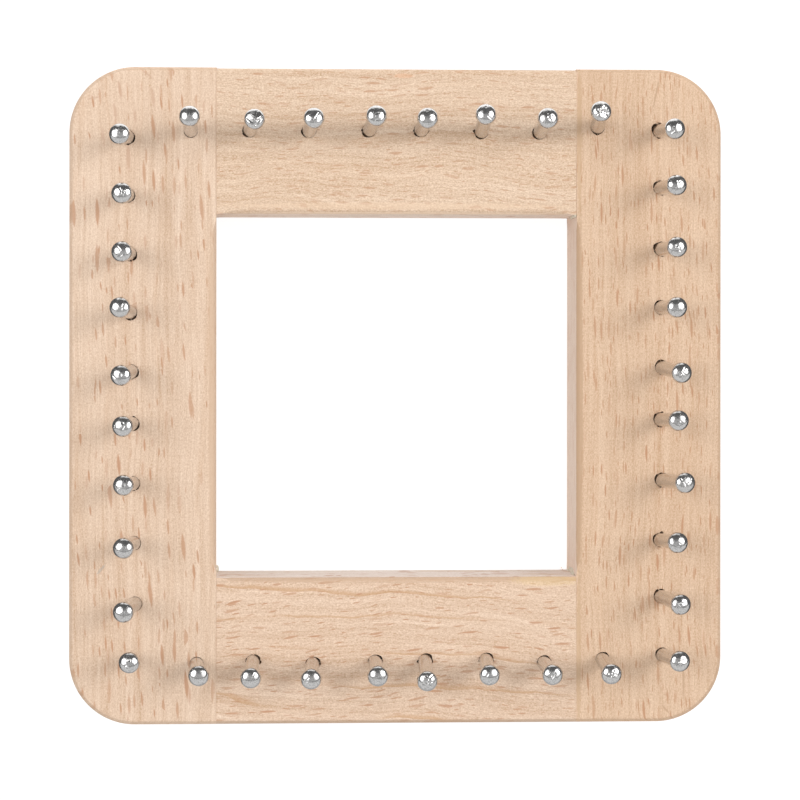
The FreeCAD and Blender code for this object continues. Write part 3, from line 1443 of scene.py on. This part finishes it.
def slot(x: float, y: float, turn: float, length: float, width: float, depth: float) -> Mark:
    """A short straight nick."""
    return Mark(Blemish.SLOT, x, y, turn, length, width, depth)


def ring(x: float, y: float, size: float, depth: float) -> Mark:
    """A round mark of a punch."""
    return Mark(Blemish.RING, x, y, 0.0, size, 0.09, depth)


def facet(
    x: float, y: float, turn: float, length: float, width: float, depth: float, lean: float = 0.04
) -> Mark:
    """A flat that a glancing blow leaves, which falls away by its lean."""
    return Mark(Blemish.FACET, x, y, turn, length, width, depth, lean)


def battered(seed: int, count: int, depth: float) -> list[Mark]:
    """Many overlapping dents, as on a head that was struck again and again.

    Args:
        seed: what makes this head its own.
        count: how many.
        depth: the deepest.

    Returns:
        The marks.
    """
    rand = random.Random(seed)
    marks = []
    for _ in range(count):
        x, y = rand.uniform(-0.6, 0.6), rand.uniform(-0.55, 0.6)
        size = rand.uniform(0.08, 0.24)
        turn = rand.uniform(0, 180)
        marks.append(Mark(Blemish.DENT, x, y, turn, size * 1.5, size * 0.7, depth * rand.uniform(0.4, 1.0)))
    return marks


def mottled(seed: int, x: float, y: float, spread: float, count: int, depth: float = 0.018) -> list[Mark]:
    """A patch of small dents.

    Args:
        seed: what makes this patch its own.
        x, y: its middle.
        spread: how wide it is.
        count: how many dents.
        depth: their usual depth.

    Returns:
        The marks.
    """
    rand = random.Random(seed)
    marks = []
    for _ in range(count):
        place = (x + rand.gauss(0, spread * 0.6), y + rand.gauss(0, spread * 0.6))
        marks.append(dent(*place, rand.uniform(0.06, 0.12), depth * rand.uniform(0.6, 1.2)))
    return marks


# How each pin was left by the hammer: the tilts of its crown in degrees, towards +X and +Y, and its marks
HEADS = {
    "left": (
        (0, 0, *mottled(1, 0.0, 0.5, 0.15, 4)),
        (-2, 0, *mottled(2, 0.12, 0.1, 0.3, 8, 0.024)),
        (-4, 0, slot(-0.3, 0.35, -50, 0.3, 0.06, 0.03), facet(-0.15, -0.35, 20, 0.3, 0.15, 0.02)),
        (-2, 0, slot(0.25, 0.0, 70, 0.28, 0.08, 0.035), slot(0.1, -0.2, 65, 0.15, 0.05, 0.03)),
        (-5, 0, slot(-0.65, -0.12, -45, 0.2, 0.06, 0.04), dent(0.0, 0.05, 0.14, 0.03)),
        (
            -4, 0, dent(0.02, 0.3, 0.12, 0.03), slot(0.1, -0.1, 60, 0.16, 0.07, 0.03),
            slot(-0.7, 0.0, 70, 0.1, 0.05, 0.03),
        ),
        (-6, 0, dent(-0.5, -0.35, 0.07, 0.03), dent(0.05, 0.05, 0.16, 0.02), dent(-0.35, -0.2, 0.06, 0.02)),
        (-3, 0, facet(0.12, 0.05, 60, 0.2, 0.12, 0.02)),
        (-3, 0, slot(0.05, -0.15, 88, 0.2, 0.05, 0.015), slot(0.2, 0.0, 85, 0.16, 0.04, 0.015)),
        (
            -1, 0, dent(-0.3, -0.2, 0.09, 0.03), dent(-0.15, -0.38, 0.08, 0.03),
            dent(0.05, 0.3, 0.1, 0.03), dent(0.2, 0.2, 0.06, 0.02),
        ),
    ),
    "right": (
        (3, 0, slot(-0.25, 0.05, 50, 0.16, 0.05, 0.035), slot(-0.28, -0.35, 40, 0.2, 0.05, 0.035)),
        (
            2, 0, slot(0.15, 0.15, -55, 0.2, 0.06, 0.03), dent(-0.1, -0.35, 0.12, 0.03),
            dent(0.25, 0.3, 0.08, 0.025),
        ),
        (2, 0, ring(-0.05, -0.1, 0.22, 0.03), dent(0.25, -0.35, 0.1, 0.03), dent(-0.05, 0.15, 0.12, 0.03)),
        (2, 0, *mottled(4, -0.2, -0.55, 0.18, 5, 0.02)),
        (4, 0, slot(0.25, 0.45, 65, 0.25, 0.06, 0.03), *mottled(5, 0.0, -0.1, 0.3, 8, 0.022)),
        (1, 0, ring(-0.05, -0.2, 0.24, 0.012)),
        (
            3, 0, slot(-0.25, 0.15, -45, 0.3, 0.06, 0.04), slot(0.3, 0.15, 42, 0.3, 0.06, 0.035),
            dent(0.0, -0.15, 0.12, 0.03),
        ),
        (1, 0, ring(0.0, -0.2, 0.22, 0.01), dent(0.6, -0.4, 0.09, 0.02)),
        (2, 0, *mottled(9, 0.0, 0.1, 0.3, 8, 0.026)),
        (
            2, 0, facet(0.35, 0.1, 30, 0.3, 0.22, 0.03), facet(0.0, -0.3, -20, 0.2, 0.12, 0.02),
            *mottled(10, 0.0, 0.0, 0.2, 3),
        ),
    ),
    "top": (
        (0, 0, dent(-0.3, 0.4, 0.1, 0.012)),
        (
            0, 2, facet(-0.42, 0.05, -38, 0.75, 0.24, 0.06, 0.05), slot(-0.3, -0.28, -40, 0.5, 0.1, 0.05),
            slot(0.2, -0.45, 48, 0.4, 0.1, 0.05), facet(0.1, 0.42, -15, 0.6, 0.26, 0.05, -0.1),
            slot(0.5, 0.0, 38, 0.3, 0.09, 0.04), dent(0.32, 0.45, 0.2, 0.03),
            slot(-0.1, 0.62, 18, 0.4, 0.08, 0.03),
        ),
        (
            0, 1, slot(-0.25, 0.35, 50, 0.2, 0.05, 0.03), slot(0.3, 0.25, 60, 0.2, 0.05, 0.03),
            *mottled(23, 0.08, -0.1, 0.22, 6, 0.02),
        ),
        (0, 1, ring(0.15, -0.1, 0.33, 0.02), slot(0.1, -0.42, 5, 0.16, 0.05, 0.03)),
        (0, 0, *mottled(25, -0.1, 0.6, 0.15, 4, 0.015)),
        (0, 1, slot(0.32, -0.32, -40, 0.16, 0.05, 0.03), *mottled(26, 0.0, 0.75, 0.15, 3, 0.015)),
        (0, 1, *mottled(27, 0.0, 0.1, 0.3, 7, 0.022)),
        (
            2, 2, facet(0.12, -0.3, 40, 0.6, 0.5, 0.1, 0.32), facet(0.35, 0.3, 70, 0.4, 0.3, 0.06, -0.1),
            ring(-0.22, 0.2, 0.2, 0.04), *battered(28, 7, 0.03),
        ),
    ),
    "bottom": (
        (0, 0, slot(0.15, -0.5, 88, 0.12, 0.05, 0.015), dent(0.5, -0.3, 0.07, 0.015)),
        (0, 0, slot(0.28, 0.3, 60, 0.2, 0.05, 0.025)),
        (0, 0, *mottled(33, -0.25, 0.0, 0.25, 7, 0.026)),
        (0, 0, dent(-0.2, -0.05, 0.1, 0.015), dent(0.5, -0.4, 0.12, 0.02)),
        (0, -2, *mottled(35, 0.05, -0.1, 0.4, 12, 0.026), slot(0.3, 0.4, 50, 0.25, 0.07, 0.04)),
        (0, 0, slot(-0.25, 0.05, 55, 0.12, 0.06, 0.03), slot(0.0, -0.5, 50, 0.14, 0.06, 0.03)),
        (
            0, 0, slot(0.05, -0.05, 58, 0.3, 0.08, 0.05), slot(-0.12, 0.05, 58, 0.2, 0.06, 0.03),
            dent(-0.2, -0.6, 0.1, 0.02),
        ),
        (0, 0, *mottled(38, 0.15, 0.0, 0.35, 9, 0.028)),
    ),
}


@dataclass
class Pin:
    """One steel pin with a flattened ball for a head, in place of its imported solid."""

    seat: PinSeat
    shank_radius: float = 1.6
    shank_rings: tuple[float, ...] = (-0.6, 6.0)
    head_radius: float = 2.375
    head_rise: float = 1.45
    head_height: float = 13.05
    head_steps: int = 60
    head_spacing: float = 0.9
    neck: tuple[tuple[float, float], ...] = ((0.0, 0.55), (0.02, 0.25), (0.09, 0.06))
    depth: float = 12.0
    tip: float = 0.7
    turns: int = 96
    crown_upright: float = 0.6
    bend: float = 0.9
    marked_below: float = 0.2
    shake_step: float = 3.1
    waves: tuple[tuple[float, float], ...] = ((0.016, 0.9), (0.011, 2.1), (0.003, 6.0))
    crease: float = 38.0

    def build(self, steel: bpy.types.Material) -> bpy.types.Object:
        """Turn the pin, lean it into place and knock its head about.

        Args:
            steel: the material of all the pins.

        Returns:
            The finished piece.
        """
        across, along, *marks = self.seat.listed(HEADS)
        solid = self._turned()
        self._settle(solid, across, along)
        bmesh.ops.recalc_face_normals(solid, faces=solid.faces)
        self._strike(solid, marks)
        return finish(solid, self.seat.name + "_steel", [steel], self.crease)

    def _profile(self) -> list[tuple[float, float]]:
        """Radius and height from the tip to the crown.

        Returns:
            The points of the profile.
        """
        shank, head, rise = self.shank_radius, self.head_radius, self.head_rise
        start = -math.acos(shank / head)
        below = self.head_height + rise * math.sin(start)
        points = [(0.0, -self.depth), (shank - self.tip, -self.depth), (shank, -self.depth + self.tip)]
        points += [(shank, height) for height in self.shank_rings]
        points += [(shank + wider, below - lower) for wider, lower in self.neck]
        for i in range(1, self.head_steps):
            turn = start + (math.pi / 2 - start) * (i / self.head_steps) ** self.head_spacing
            points.append((head * math.cos(turn), self.head_height + rise * math.sin(turn)))
        return points + [(0.0, self.head_height + rise)]

    def _turned(self) -> Solid:
        """The pin as it comes off the lathe, upright with its foot at the origin.

        Returns:
            The solid.
        """
        solid = bmesh.new()
        corners = [solid.verts.new((radius, 0.0, height)) for radius, height in self._profile()]
        edges = [solid.edges.new(pair) for pair in zip(corners, corners[1:])]
        lathe = {"axis": UP, "cent": Vector(), "steps": self.turns, "angle": 2 * math.pi, "use_merge": True}
        bmesh.ops.spin(solid, geom=corners + edges, **lathe)
        bmesh.ops.remove_doubles(solid, verts=solid.verts, dist=MERGE)
        return solid

    def _settle(self, solid: Solid, across: float, along: float) -> None:
        """Lean the pin along its axis, with the head turned part of the way back upright.

        Args:
            solid: the pin.
            across: a further tilt of the head towards +X, in degrees.
            along: the same towards +Y.
        """
        lean = UP.rotation_difference(self.seat.axis)
        nudge = Quaternion((0.0, 1.0, 0.0), math.radians(across))
        nudge = nudge @ Quaternion((1.0, 0.0, 0.0), math.radians(-along))
        crown = nudge @ lean.slerp(Quaternion(), self.crown_upright)
        middle = UP * self.head_height
        for vertex in solid.verts:
            leaned = lean @ vertex.co
            share = min(1.0, max(0.0, (vertex.co.z - middle.z + self.bend) / self.bend))
            turned = lean @ middle + crown @ (vertex.co - middle)
            vertex.co = leaned.lerp(turned, share) + self.seat.foot

    def _strike(self, solid: Solid, marks: list[Mark]) -> None:
        """Sink the marks into the head, and make it a little uneven all over.

        Args:
            solid: the pin.
            marks: its blemishes.
        """
        solid.normal_update()
        centre = self.seat.foot + self.seat.axis * self.head_height
        foot = self.seat.foot
        shake = Vector((len(self.seat.name) * self.shake_step, foot.x, foot.y))
        moves = []
        for vertex in solid.verts:
            away = vertex.co - centre
            if away.z < -self.marked_below:
                continue
            x, y = away.x / self.head_radius, away.y / self.head_radius
            facing = max(0.0, vertex.normal.z) ** 0.5
            sink = sum(mark.sink(x, y) for mark in marks) * self.head_radius * facing
            wave = sum(high * noise.noise(away * fine + shake) for high, fine in self.waves)
            moves.append((vertex, vertex.normal * (wave - sink)))
        for vertex, move in moves:
            vertex.co += move


# The studio


@dataclass
class Softbox:
    """One large soft lamp, aimed at the board, with a brighter middle."""

    name: str
    side: float
    forward: float
    middle_power: float
    cloth_power: float
    angle: float = 43.0
    distance: float = 2.2
    cloth: tuple[float, float] = (1.88, 1.86)
    cloth_forward: float = 0.4
    middle: tuple[float, float] = (1.0, 0.92)

    def hang(self) -> None:
        """Add the lamp's cloth and its bright middle to the scene."""
        self._panel("cloth", "ELLIPSE", self.cloth, self.cloth_power, self.cloth_forward, self.distance)
        self._panel("middle", "RECTANGLE", self.middle, self.middle_power, self.forward, self.distance - 0.01)

    def _panel(
        self, label: str, outline: str, size: tuple[float, float], radiance: float, forward: float, far: float
    ) -> None:
        """Add one evenly lit panel, which faces the board's middle.

        Args:
            label: the end of its name.
            outline: ELLIPSE or RECTANGLE.
            size: its width and length.
            radiance: how bright its face is.
            forward: its place along Y.
            far: its distance from the board.
        """
        lamp = bpy.data.lights.new(f"{self.name}_{label}", "AREA")
        lamp.shape = outline
        lamp.size, lamp.size_y = size
        area = size[0] * size[1] * (math.pi / 4 if outline == "ELLIPSE" else 1.0)
        lamp.energy = radiance * area * math.pi
        turn = math.radians(self.angle)
        holder = as_object(lamp.name, lamp)
        holder.location = (self.side * far * math.sin(turn), forward, far * math.cos(turn))
        holder.rotation_euler = (0.0, self.side * turn, 0.0)


@dataclass
class Studio:
    """The floor, the light and the camera.

    The floor's tones are grey levels, for the light and as it is seen. The room's levels and
    the glows are strengths of white light.
    """

    camera_place: tuple[float, float, float] = (-0.0329, 0.0124, 0.588)
    camera_turn: tuple[float, float, float] = (-0.0136, -2.5444, 0.0388)
    focal_pixels: float = 2495.4
    axis_pixel: tuple[float, float] = (364.0, 342.0)
    floor_half: float = 3.0
    floor_drop: float = 0.00005
    floor_tones: tuple[float, float] = (0.5, 0.25)
    floor_glow: float = 0.55
    floor_glow_seen: float = 0.31
    shadow_ends: tuple[float, float] = (0.1, 0.17)
    room: float = 0.12
    near_card: float = 0.62
    ceiling: float = 0.43
    mirrored_ceiling: float = 0.37
    back_wash: float = 1.5

    def set_up(self) -> None:
        """Build the whole studio."""
        self._floor()
        self._world()
        Softbox("left_softbox", -1.0, 0.36, 1.9, 1.92).hang()
        Softbox("right_softbox", 1.0, 0.58, 4.6, 1.47).hang()
        self._camera()
        bpy.context.scene.view_settings.view_transform = "Standard"

    def _floor(self) -> None:
        """A pale table top, plain white beyond the board's shadow and clear from below."""
        solid = bmesh.new()
        bmesh.ops.create_grid(solid, x_segments=1, y_segments=1, size=self.floor_half)
        bmesh.ops.translate(solid, vec=UP * -self.floor_drop, verts=solid.verts)
        floor = as_object("table_top", as_mesh(solid, "table_top"))
        material, bench, shader = bare_material("white_table")
        bench.tree.nodes.remove(shader)
        path = bench.add("LightPath")
        seen, glossy = bench.out(path, "Is Camera Ray"), bench.out(path, "Is Glossy Ray")
        place = bench.out(bench.add("TexCoord"), "Object")
        tones = ((tone, tone, tone) for tone in self.floor_tones)
        matt = bench.out(bench.add("BsdfDiffuse", bench.blend(seen, *tones)))
        glow = bench.glow(seen * self.floor_glow_seen + self.floor_glow)
        lifted = bench.out(bench.add("AddShader", matt, glow))
        far = bench.step(bench.length(place), *self.shadow_ends)
        lit = bench.mixed(far * seen, lifted, bench.glow(1.0))
        shown = bench.mixed(glossy, lit, bench.glow(self._mirrored(bench, place)))
        behind = bench.out(bench.add("NewGeometry"), "Backfacing")
        clear = bench.mixed(behind, shown, bench.out(bench.add("BsdfTransparent")))
        bench.wire(bench.tree.nodes["Material Output"], Surface=clear)
        floor.data.materials.append(material)

    @staticmethod
    def _mirrored(bench: NodeBench, place: Signal) -> Signal:
        """How bright the table is in the steel: lit behind the board, grey on the near side, dark around.

        Args:
            bench: the floor's bench.
            place: object coordinates.

        Returns:
            The strength.
        """
        x, y, _ = bench.parts(place)
        side = abs(x)
        behind = bench.step(y, 0.08, 0.1) * bench.step(side - y * 0.35, 0.09, 0.035)
        before = bench.step(y + side * 0.6, -0.04, -0.07)
        return behind * 1.3 + before * 0.4 + 0.12

    def _world(self) -> None:
        """A dim room with a grey card on the near side and a white one low down at the back."""
        world = bpy.data.worlds.new("studio")
        bpy.context.scene.world = world
        world.use_nodes = True
        bench = NodeBench(world.node_tree)
        x, y, z = bench.parts(bench.out(bench.add("TexCoord"), "Generated"))
        path = bench.add("LightPath")
        seen, glossy = bench.out(path, "Is Camera Ray"), bench.out(path, "Is Glossy Ray")
        near = y * -1.0 - z * 0.52
        back = y - z * 0.5
        lit = bench.step(back, 0.08, -0.12) * self.ceiling
        mirrored = bench.step(back, 0.08, -0.66) * self.mirrored_ceiling
        over = bench.step(near, 0.0, -0.12) * bench.choose(glossy, lit, mirrored)
        over = over * bench.step(abs(x), 0.75, 0.45)
        card = bench.step(near, 0.0, 0.05) * self.near_card
        low = bench.step(z, 0.34, 0.24) * bench.step(y, 0.86, 0.93)
        wash = bench.step(y, 0.45, 0.8) * bench.step(z, 0.6, 0.4) * (1.0 - glossy) * self.back_wash
        strength = bench.choose(seen, card + self.room + over + low + wash, 1.0)
        bench.wire(bench.tree.nodes["Background"], Color=WHITE, Strength=strength)

    def _camera(self) -> None:
        """A long lens from above, a little to the left, as the board was taken."""
        lens = bpy.data.cameras.new("above")
        lens.sensor_fit = "HORIZONTAL"
        lens.sensor_width = 36.0
        lens.lens = self.focal_pixels * lens.sensor_width / IMAGE_PIXELS
        lens.shift_x = 0.5 - self.axis_pixel[0] / IMAGE_PIXELS
        lens.shift_y = self.axis_pixel[1] / IMAGE_PIXELS - 0.5
        lens.clip_start = 0.01
        camera = as_object("above", lens)
        camera.location = self.camera_place
        camera.rotation_euler = tuple(math.radians(turn) for turn in self.camera_turn)
        bpy.context.scene.camera = camera


# The board


@dataclass
class KnittingBoard:
    """The whole board: four bars, thirty-six pins and the dowels inside."""

    window: tuple[float, float]
    seats: list[PinSeat]

    @classmethod
    def from_frame(cls) -> "KnittingBoard":
        """Take the board's sizes and the pins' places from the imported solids.

        Returns:
            The board, not yet built.
        """
        low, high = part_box("top_rail")
        names = sorted(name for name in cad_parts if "_pin_" in name)
        seats = [PinSeat.of_node(name, high.z / MM) for name in names]
        return cls(((high.x - low.x) / 2 / MM, low.y / MM), seats)

    def build(self) -> None:
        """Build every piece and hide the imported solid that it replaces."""
        for bar in (self._left_stile(), self._right_stile(), self._top_rail(), self._bottom_rail()):
            self._seat(bar.build(), bar.node, bar.finish.name)
        steel = SteelFinish().material()
        for seat in self.seats:
            self._seat(Pin(seat).build(steel), seat.name, "steel_pins")
        self._dress_dowels()

    @staticmethod
    def _seat(piece: bpy.types.Object, node: str, slot_name: str) -> None:
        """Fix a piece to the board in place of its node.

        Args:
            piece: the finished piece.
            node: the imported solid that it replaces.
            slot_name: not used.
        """
        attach(piece, "root")
        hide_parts(node)
        LOG.info("built %s with %d faces", piece.name, len(piece.data.polygons))

    @staticmethod
    def _dress_dowels() -> None:
        """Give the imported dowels, which are buried in the joints, their own wood."""
        colour = (0.70, 0.50, 0.34)
        wood = BeechFinish("dowel_beech", Grain.ALONG_X, 53.0, colour, ray_width=0.4, ray_length=0.5)
        material = wood.material()
        dowels = [node for name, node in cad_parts.items() if name.startswith("dowel_")]
        for dowel in dowels:
            dowel.data.materials.clear()
            dowel.data.materials.append(material)
        LOG.info("dressed %d dowels", len(dowels))

    def _left_stile(self) -> Bar:
        """The left stile: large rays near its upper corner, a grey scuff, pale joints, painted shade along
        the window's edge and a lump of glue.

        Returns:
            The bar, not yet built.
        """
        rays = (
            (-63.2, 69.6, 2.0, 0.36, 100.0, 0.8), (-64.3, 64.6, 1.8, 0.33, 98.0, 0.7),
            (-55.7, 68.0, 2.0, 0.34, 97.0, 0.7), (-59.8, 63.7, 1.3, 0.3, 94.0, 0.6),
            (-67.1, 59.5, 1.3, 0.3, 92.0, 0.6), (-61.3, 54.2, 2.9, 0.4, 91.0, 0.75),
            (-57.4, 73.6, 2.0, 0.2, -38.0, 0.7), (-69.2, 67.8, 1.2, 0.24, 12.0, 0.6),
        )
        pale = (0.90, 0.72, 0.56)
        stains_and_shading = (
            *(StainOrShade(*ray, (0.63, 0.41, 0.285)) for ray in rays),
            StainOrShade(-67.4, -39.5, 1.4, 0.3, 50.0, 0.5, (0.48, 0.43, 0.38)),
            StainOrShade(-41.95, 58.5, 17.0, 0.22, 90.0, 0.12, pale),
            StainOrShade(-41.9, -58.5, 17.0, 0.2, 90.0, 0.2, pale),
            StainOrShade(-41.4, 58.5, 17.0, 0.16, 90.0, 0.45),
            StainOrShade(-41.45, -58.5, 17.0, 0.12, 90.0, 0.25),
            # Painted shade: a darker band along the window's rounded edge
            StainOrShade(-42.35, 0.0, 41.0, 0.66, 90.0, 0.75, (0.67, 0.47, 0.325)),
        )
        wood = BeechFinish(
            "left_stile_beech", Grain.ALONG_Y, 3.0, (0.75, 0.555, 0.41), edge_painted_shade=0.48, waviness=0.35,
            tilt=1.5, ray_width=1.15, ray_length=1.35, ray_share=0.34, ray_lean=0.05, stains_and_shading=stains_and_shading,
        )
        x, y = self.window
        lump = GlueBead((-x - 0.25, -y + 0.25, 2.6), (0.62, 1.35, 2.1))
        return Bar(wood, "left_stile", self.seats, self.window, lumps=[lump])

    def _right_stile(self) -> Bar:
        """The right stile: long rays near its corners, deeper joints, painted shade along the window's edge,
        and a run of glue.

        Returns:
            The bar, not yet built.
        """
        deep = (0.62, 0.415, 0.255)
        rays = (
            (59.6, 69.4, 3.5, 0.2, 78.0, 0.85),
            (66.0, -65.8, 3.6, 0.24, 90.0, 0.7),
            (61.9, -72.1, 1.3, 0.22, -50.0, 0.8),
        )
        stains_and_shading = (
            *(StainOrShade(*ray, (0.57, 0.37, 0.24)) for ray in rays),
            # Painted shade: a deep band along the window's rounded edge
            StainOrShade(42.0, 0.0, 41.0, 0.75, 90.0, 0.85, (0.56, 0.37, 0.235)),
            StainOrShade(41.9, 58.5, 17.0, 0.5, 90.0, 0.7, deep),
            StainOrShade(41.8, -58.5, 17.0, 0.5, 90.0, 0.7, deep),
        )
        wood = BeechFinish(
            "right_stile_beech", Grain.ALONG_Y, 17.0, (0.716, 0.505, 0.349), edge_painted_shade=0.5, fibres=0.85,
            waviness=0.4, tilt=-1.5, ray_width=0.73, ray_length=1.1, ray_share=0.44, stains_and_shading=stains_and_shading,
        )
        x, y = self.window
        bubbles = (
            (0.25, 0.15, 17.5, 0.34), (0.1, 0.4, 16.2, 0.3), (0.35, 0.1, 15.0, 0.38), (0.1, 0.2, 13.6, 0.42),
            (0.3, 0.35, 12.3, 0.33), (0.15, 0.1, 10.9, 0.4), (0.2, 0.3, 9.4, 0.3), (0.1, 0.1, 8.2, 0.34),
        )
        lumps = [
            *(GlueBead((x - dx, y - dy, z), (size, size, size * 1.35)) for dx, dy, z, size in bubbles),
            GlueBead((x + 0.05, -y + 0.5, 9.0), (0.16, 0.8, 5.5)),
            GlueBead((x - 0.1, -y + 0.15, 4.0), (0.35, 0.3, 1.6)),
            GlueBead((x - 0.15, -y + 0.1, 13.0), (0.3, 0.28, 2.2)),
        ]
        # The window's wall is made paler as painted light
        return Bar(wood, "right_stile", self.seats, self.window, wall_painted_light=(0.82, 0.715, 0.65), lumps=lumps)

    def _top_rail(self) -> Bar:
        """The top rail: set back a little, with pale strips along the window and one rust spot.

        Returns:
            The bar, not yet built.
        """
        stains_and_shading = (
            StainOrShade(1.45, 73.2, 2.1, 0.5, 0.0, 0.4, (0.82, 0.45, 0.26)),
            StainOrShade(0.0, 41.55, 41.0, 0.42, 0.0, 0.8, (0.86, 0.66, 0.49)),
            StainOrShade(0.0, 43.4, 37.0, 0.75, 0.0, 0.42, (0.86, 0.65, 0.47)),
        )
        wood = BeechFinish(
            "top_rail_beech", Grain.ALONG_X, 29.0, (0.731, 0.540, 0.391), edge_painted_shade=0.25, ripple=1.6,
            stipple=1.35, waviness=1.1, ray_width=0.7, ray_length=0.75, ray_share=0.46, ray_strength=0.7,
            stains_and_shading=stains_and_shading,
        )
        # The window's wall is made paler as painted light
        return Bar(wood, "top_rail", self.seats, self.window, setback=0.22, wall_painted_light=(1.0, 0.87, 0.79))

    def _bottom_rail(self) -> Bar:
        """The bottom rail: painted shade along the window's edge, a yellow smear of glue and two slivers.

        Returns:
            The bar, not yet built.
        """
        stains_and_shading = (
            # Painted shade: a darker band along the window's rounded edge
            StainOrShade(0.0, -42.4, 41.0, 0.42, 0.0, 0.6, (0.607, 0.417, 0.287)),
            StainOrShade(34.5, -42.4, 7.5, 1.15, 0.0, 0.4, (0.76, 0.55, 0.28)),
        )
        wood = BeechFinish(
            "bottom_rail_beech", Grain.ALONG_X, 41.0, (0.741, 0.543, 0.400), edge_painted_shade=0.7, ripple=1.5,
            stipple=1.15, slope=-0.06, ray_width=0.7, ray_length=0.85, ray_share=0.42, ray_lean=0.12,
            line_strength=0.6, stains_and_shading=stains_and_shading,
        )
        x, y = self.window
        slivers = [
            Sliver(Vector((x - 1.1, -y, 0.8)), Vector((-0.35, 0.9, 0.3)), 0.9),
            Sliver(Vector((x - 1.35, -y + 0.5, 1.0)), Vector((-0.8, 0.5, 0.2)), 0.5, thick=0.05, tip=0.02),
        ]
        # The colour that the window's wall is made paler towards: painted light
        pale = (0.86, 0.81, 0.79)
        return Bar(wood, "bottom_rail", self.seats, self.window, wall_painted_light=pale, slivers=slivers)


def main() -> None:
    """Build the board and its studio."""
    logging.basicConfig(level=logging.INFO, format="%(name)s: %(message)s")
    Studio().set_up()
    KnittingBoard.from_frame().build()


if __name__ == "__main__":
    main()
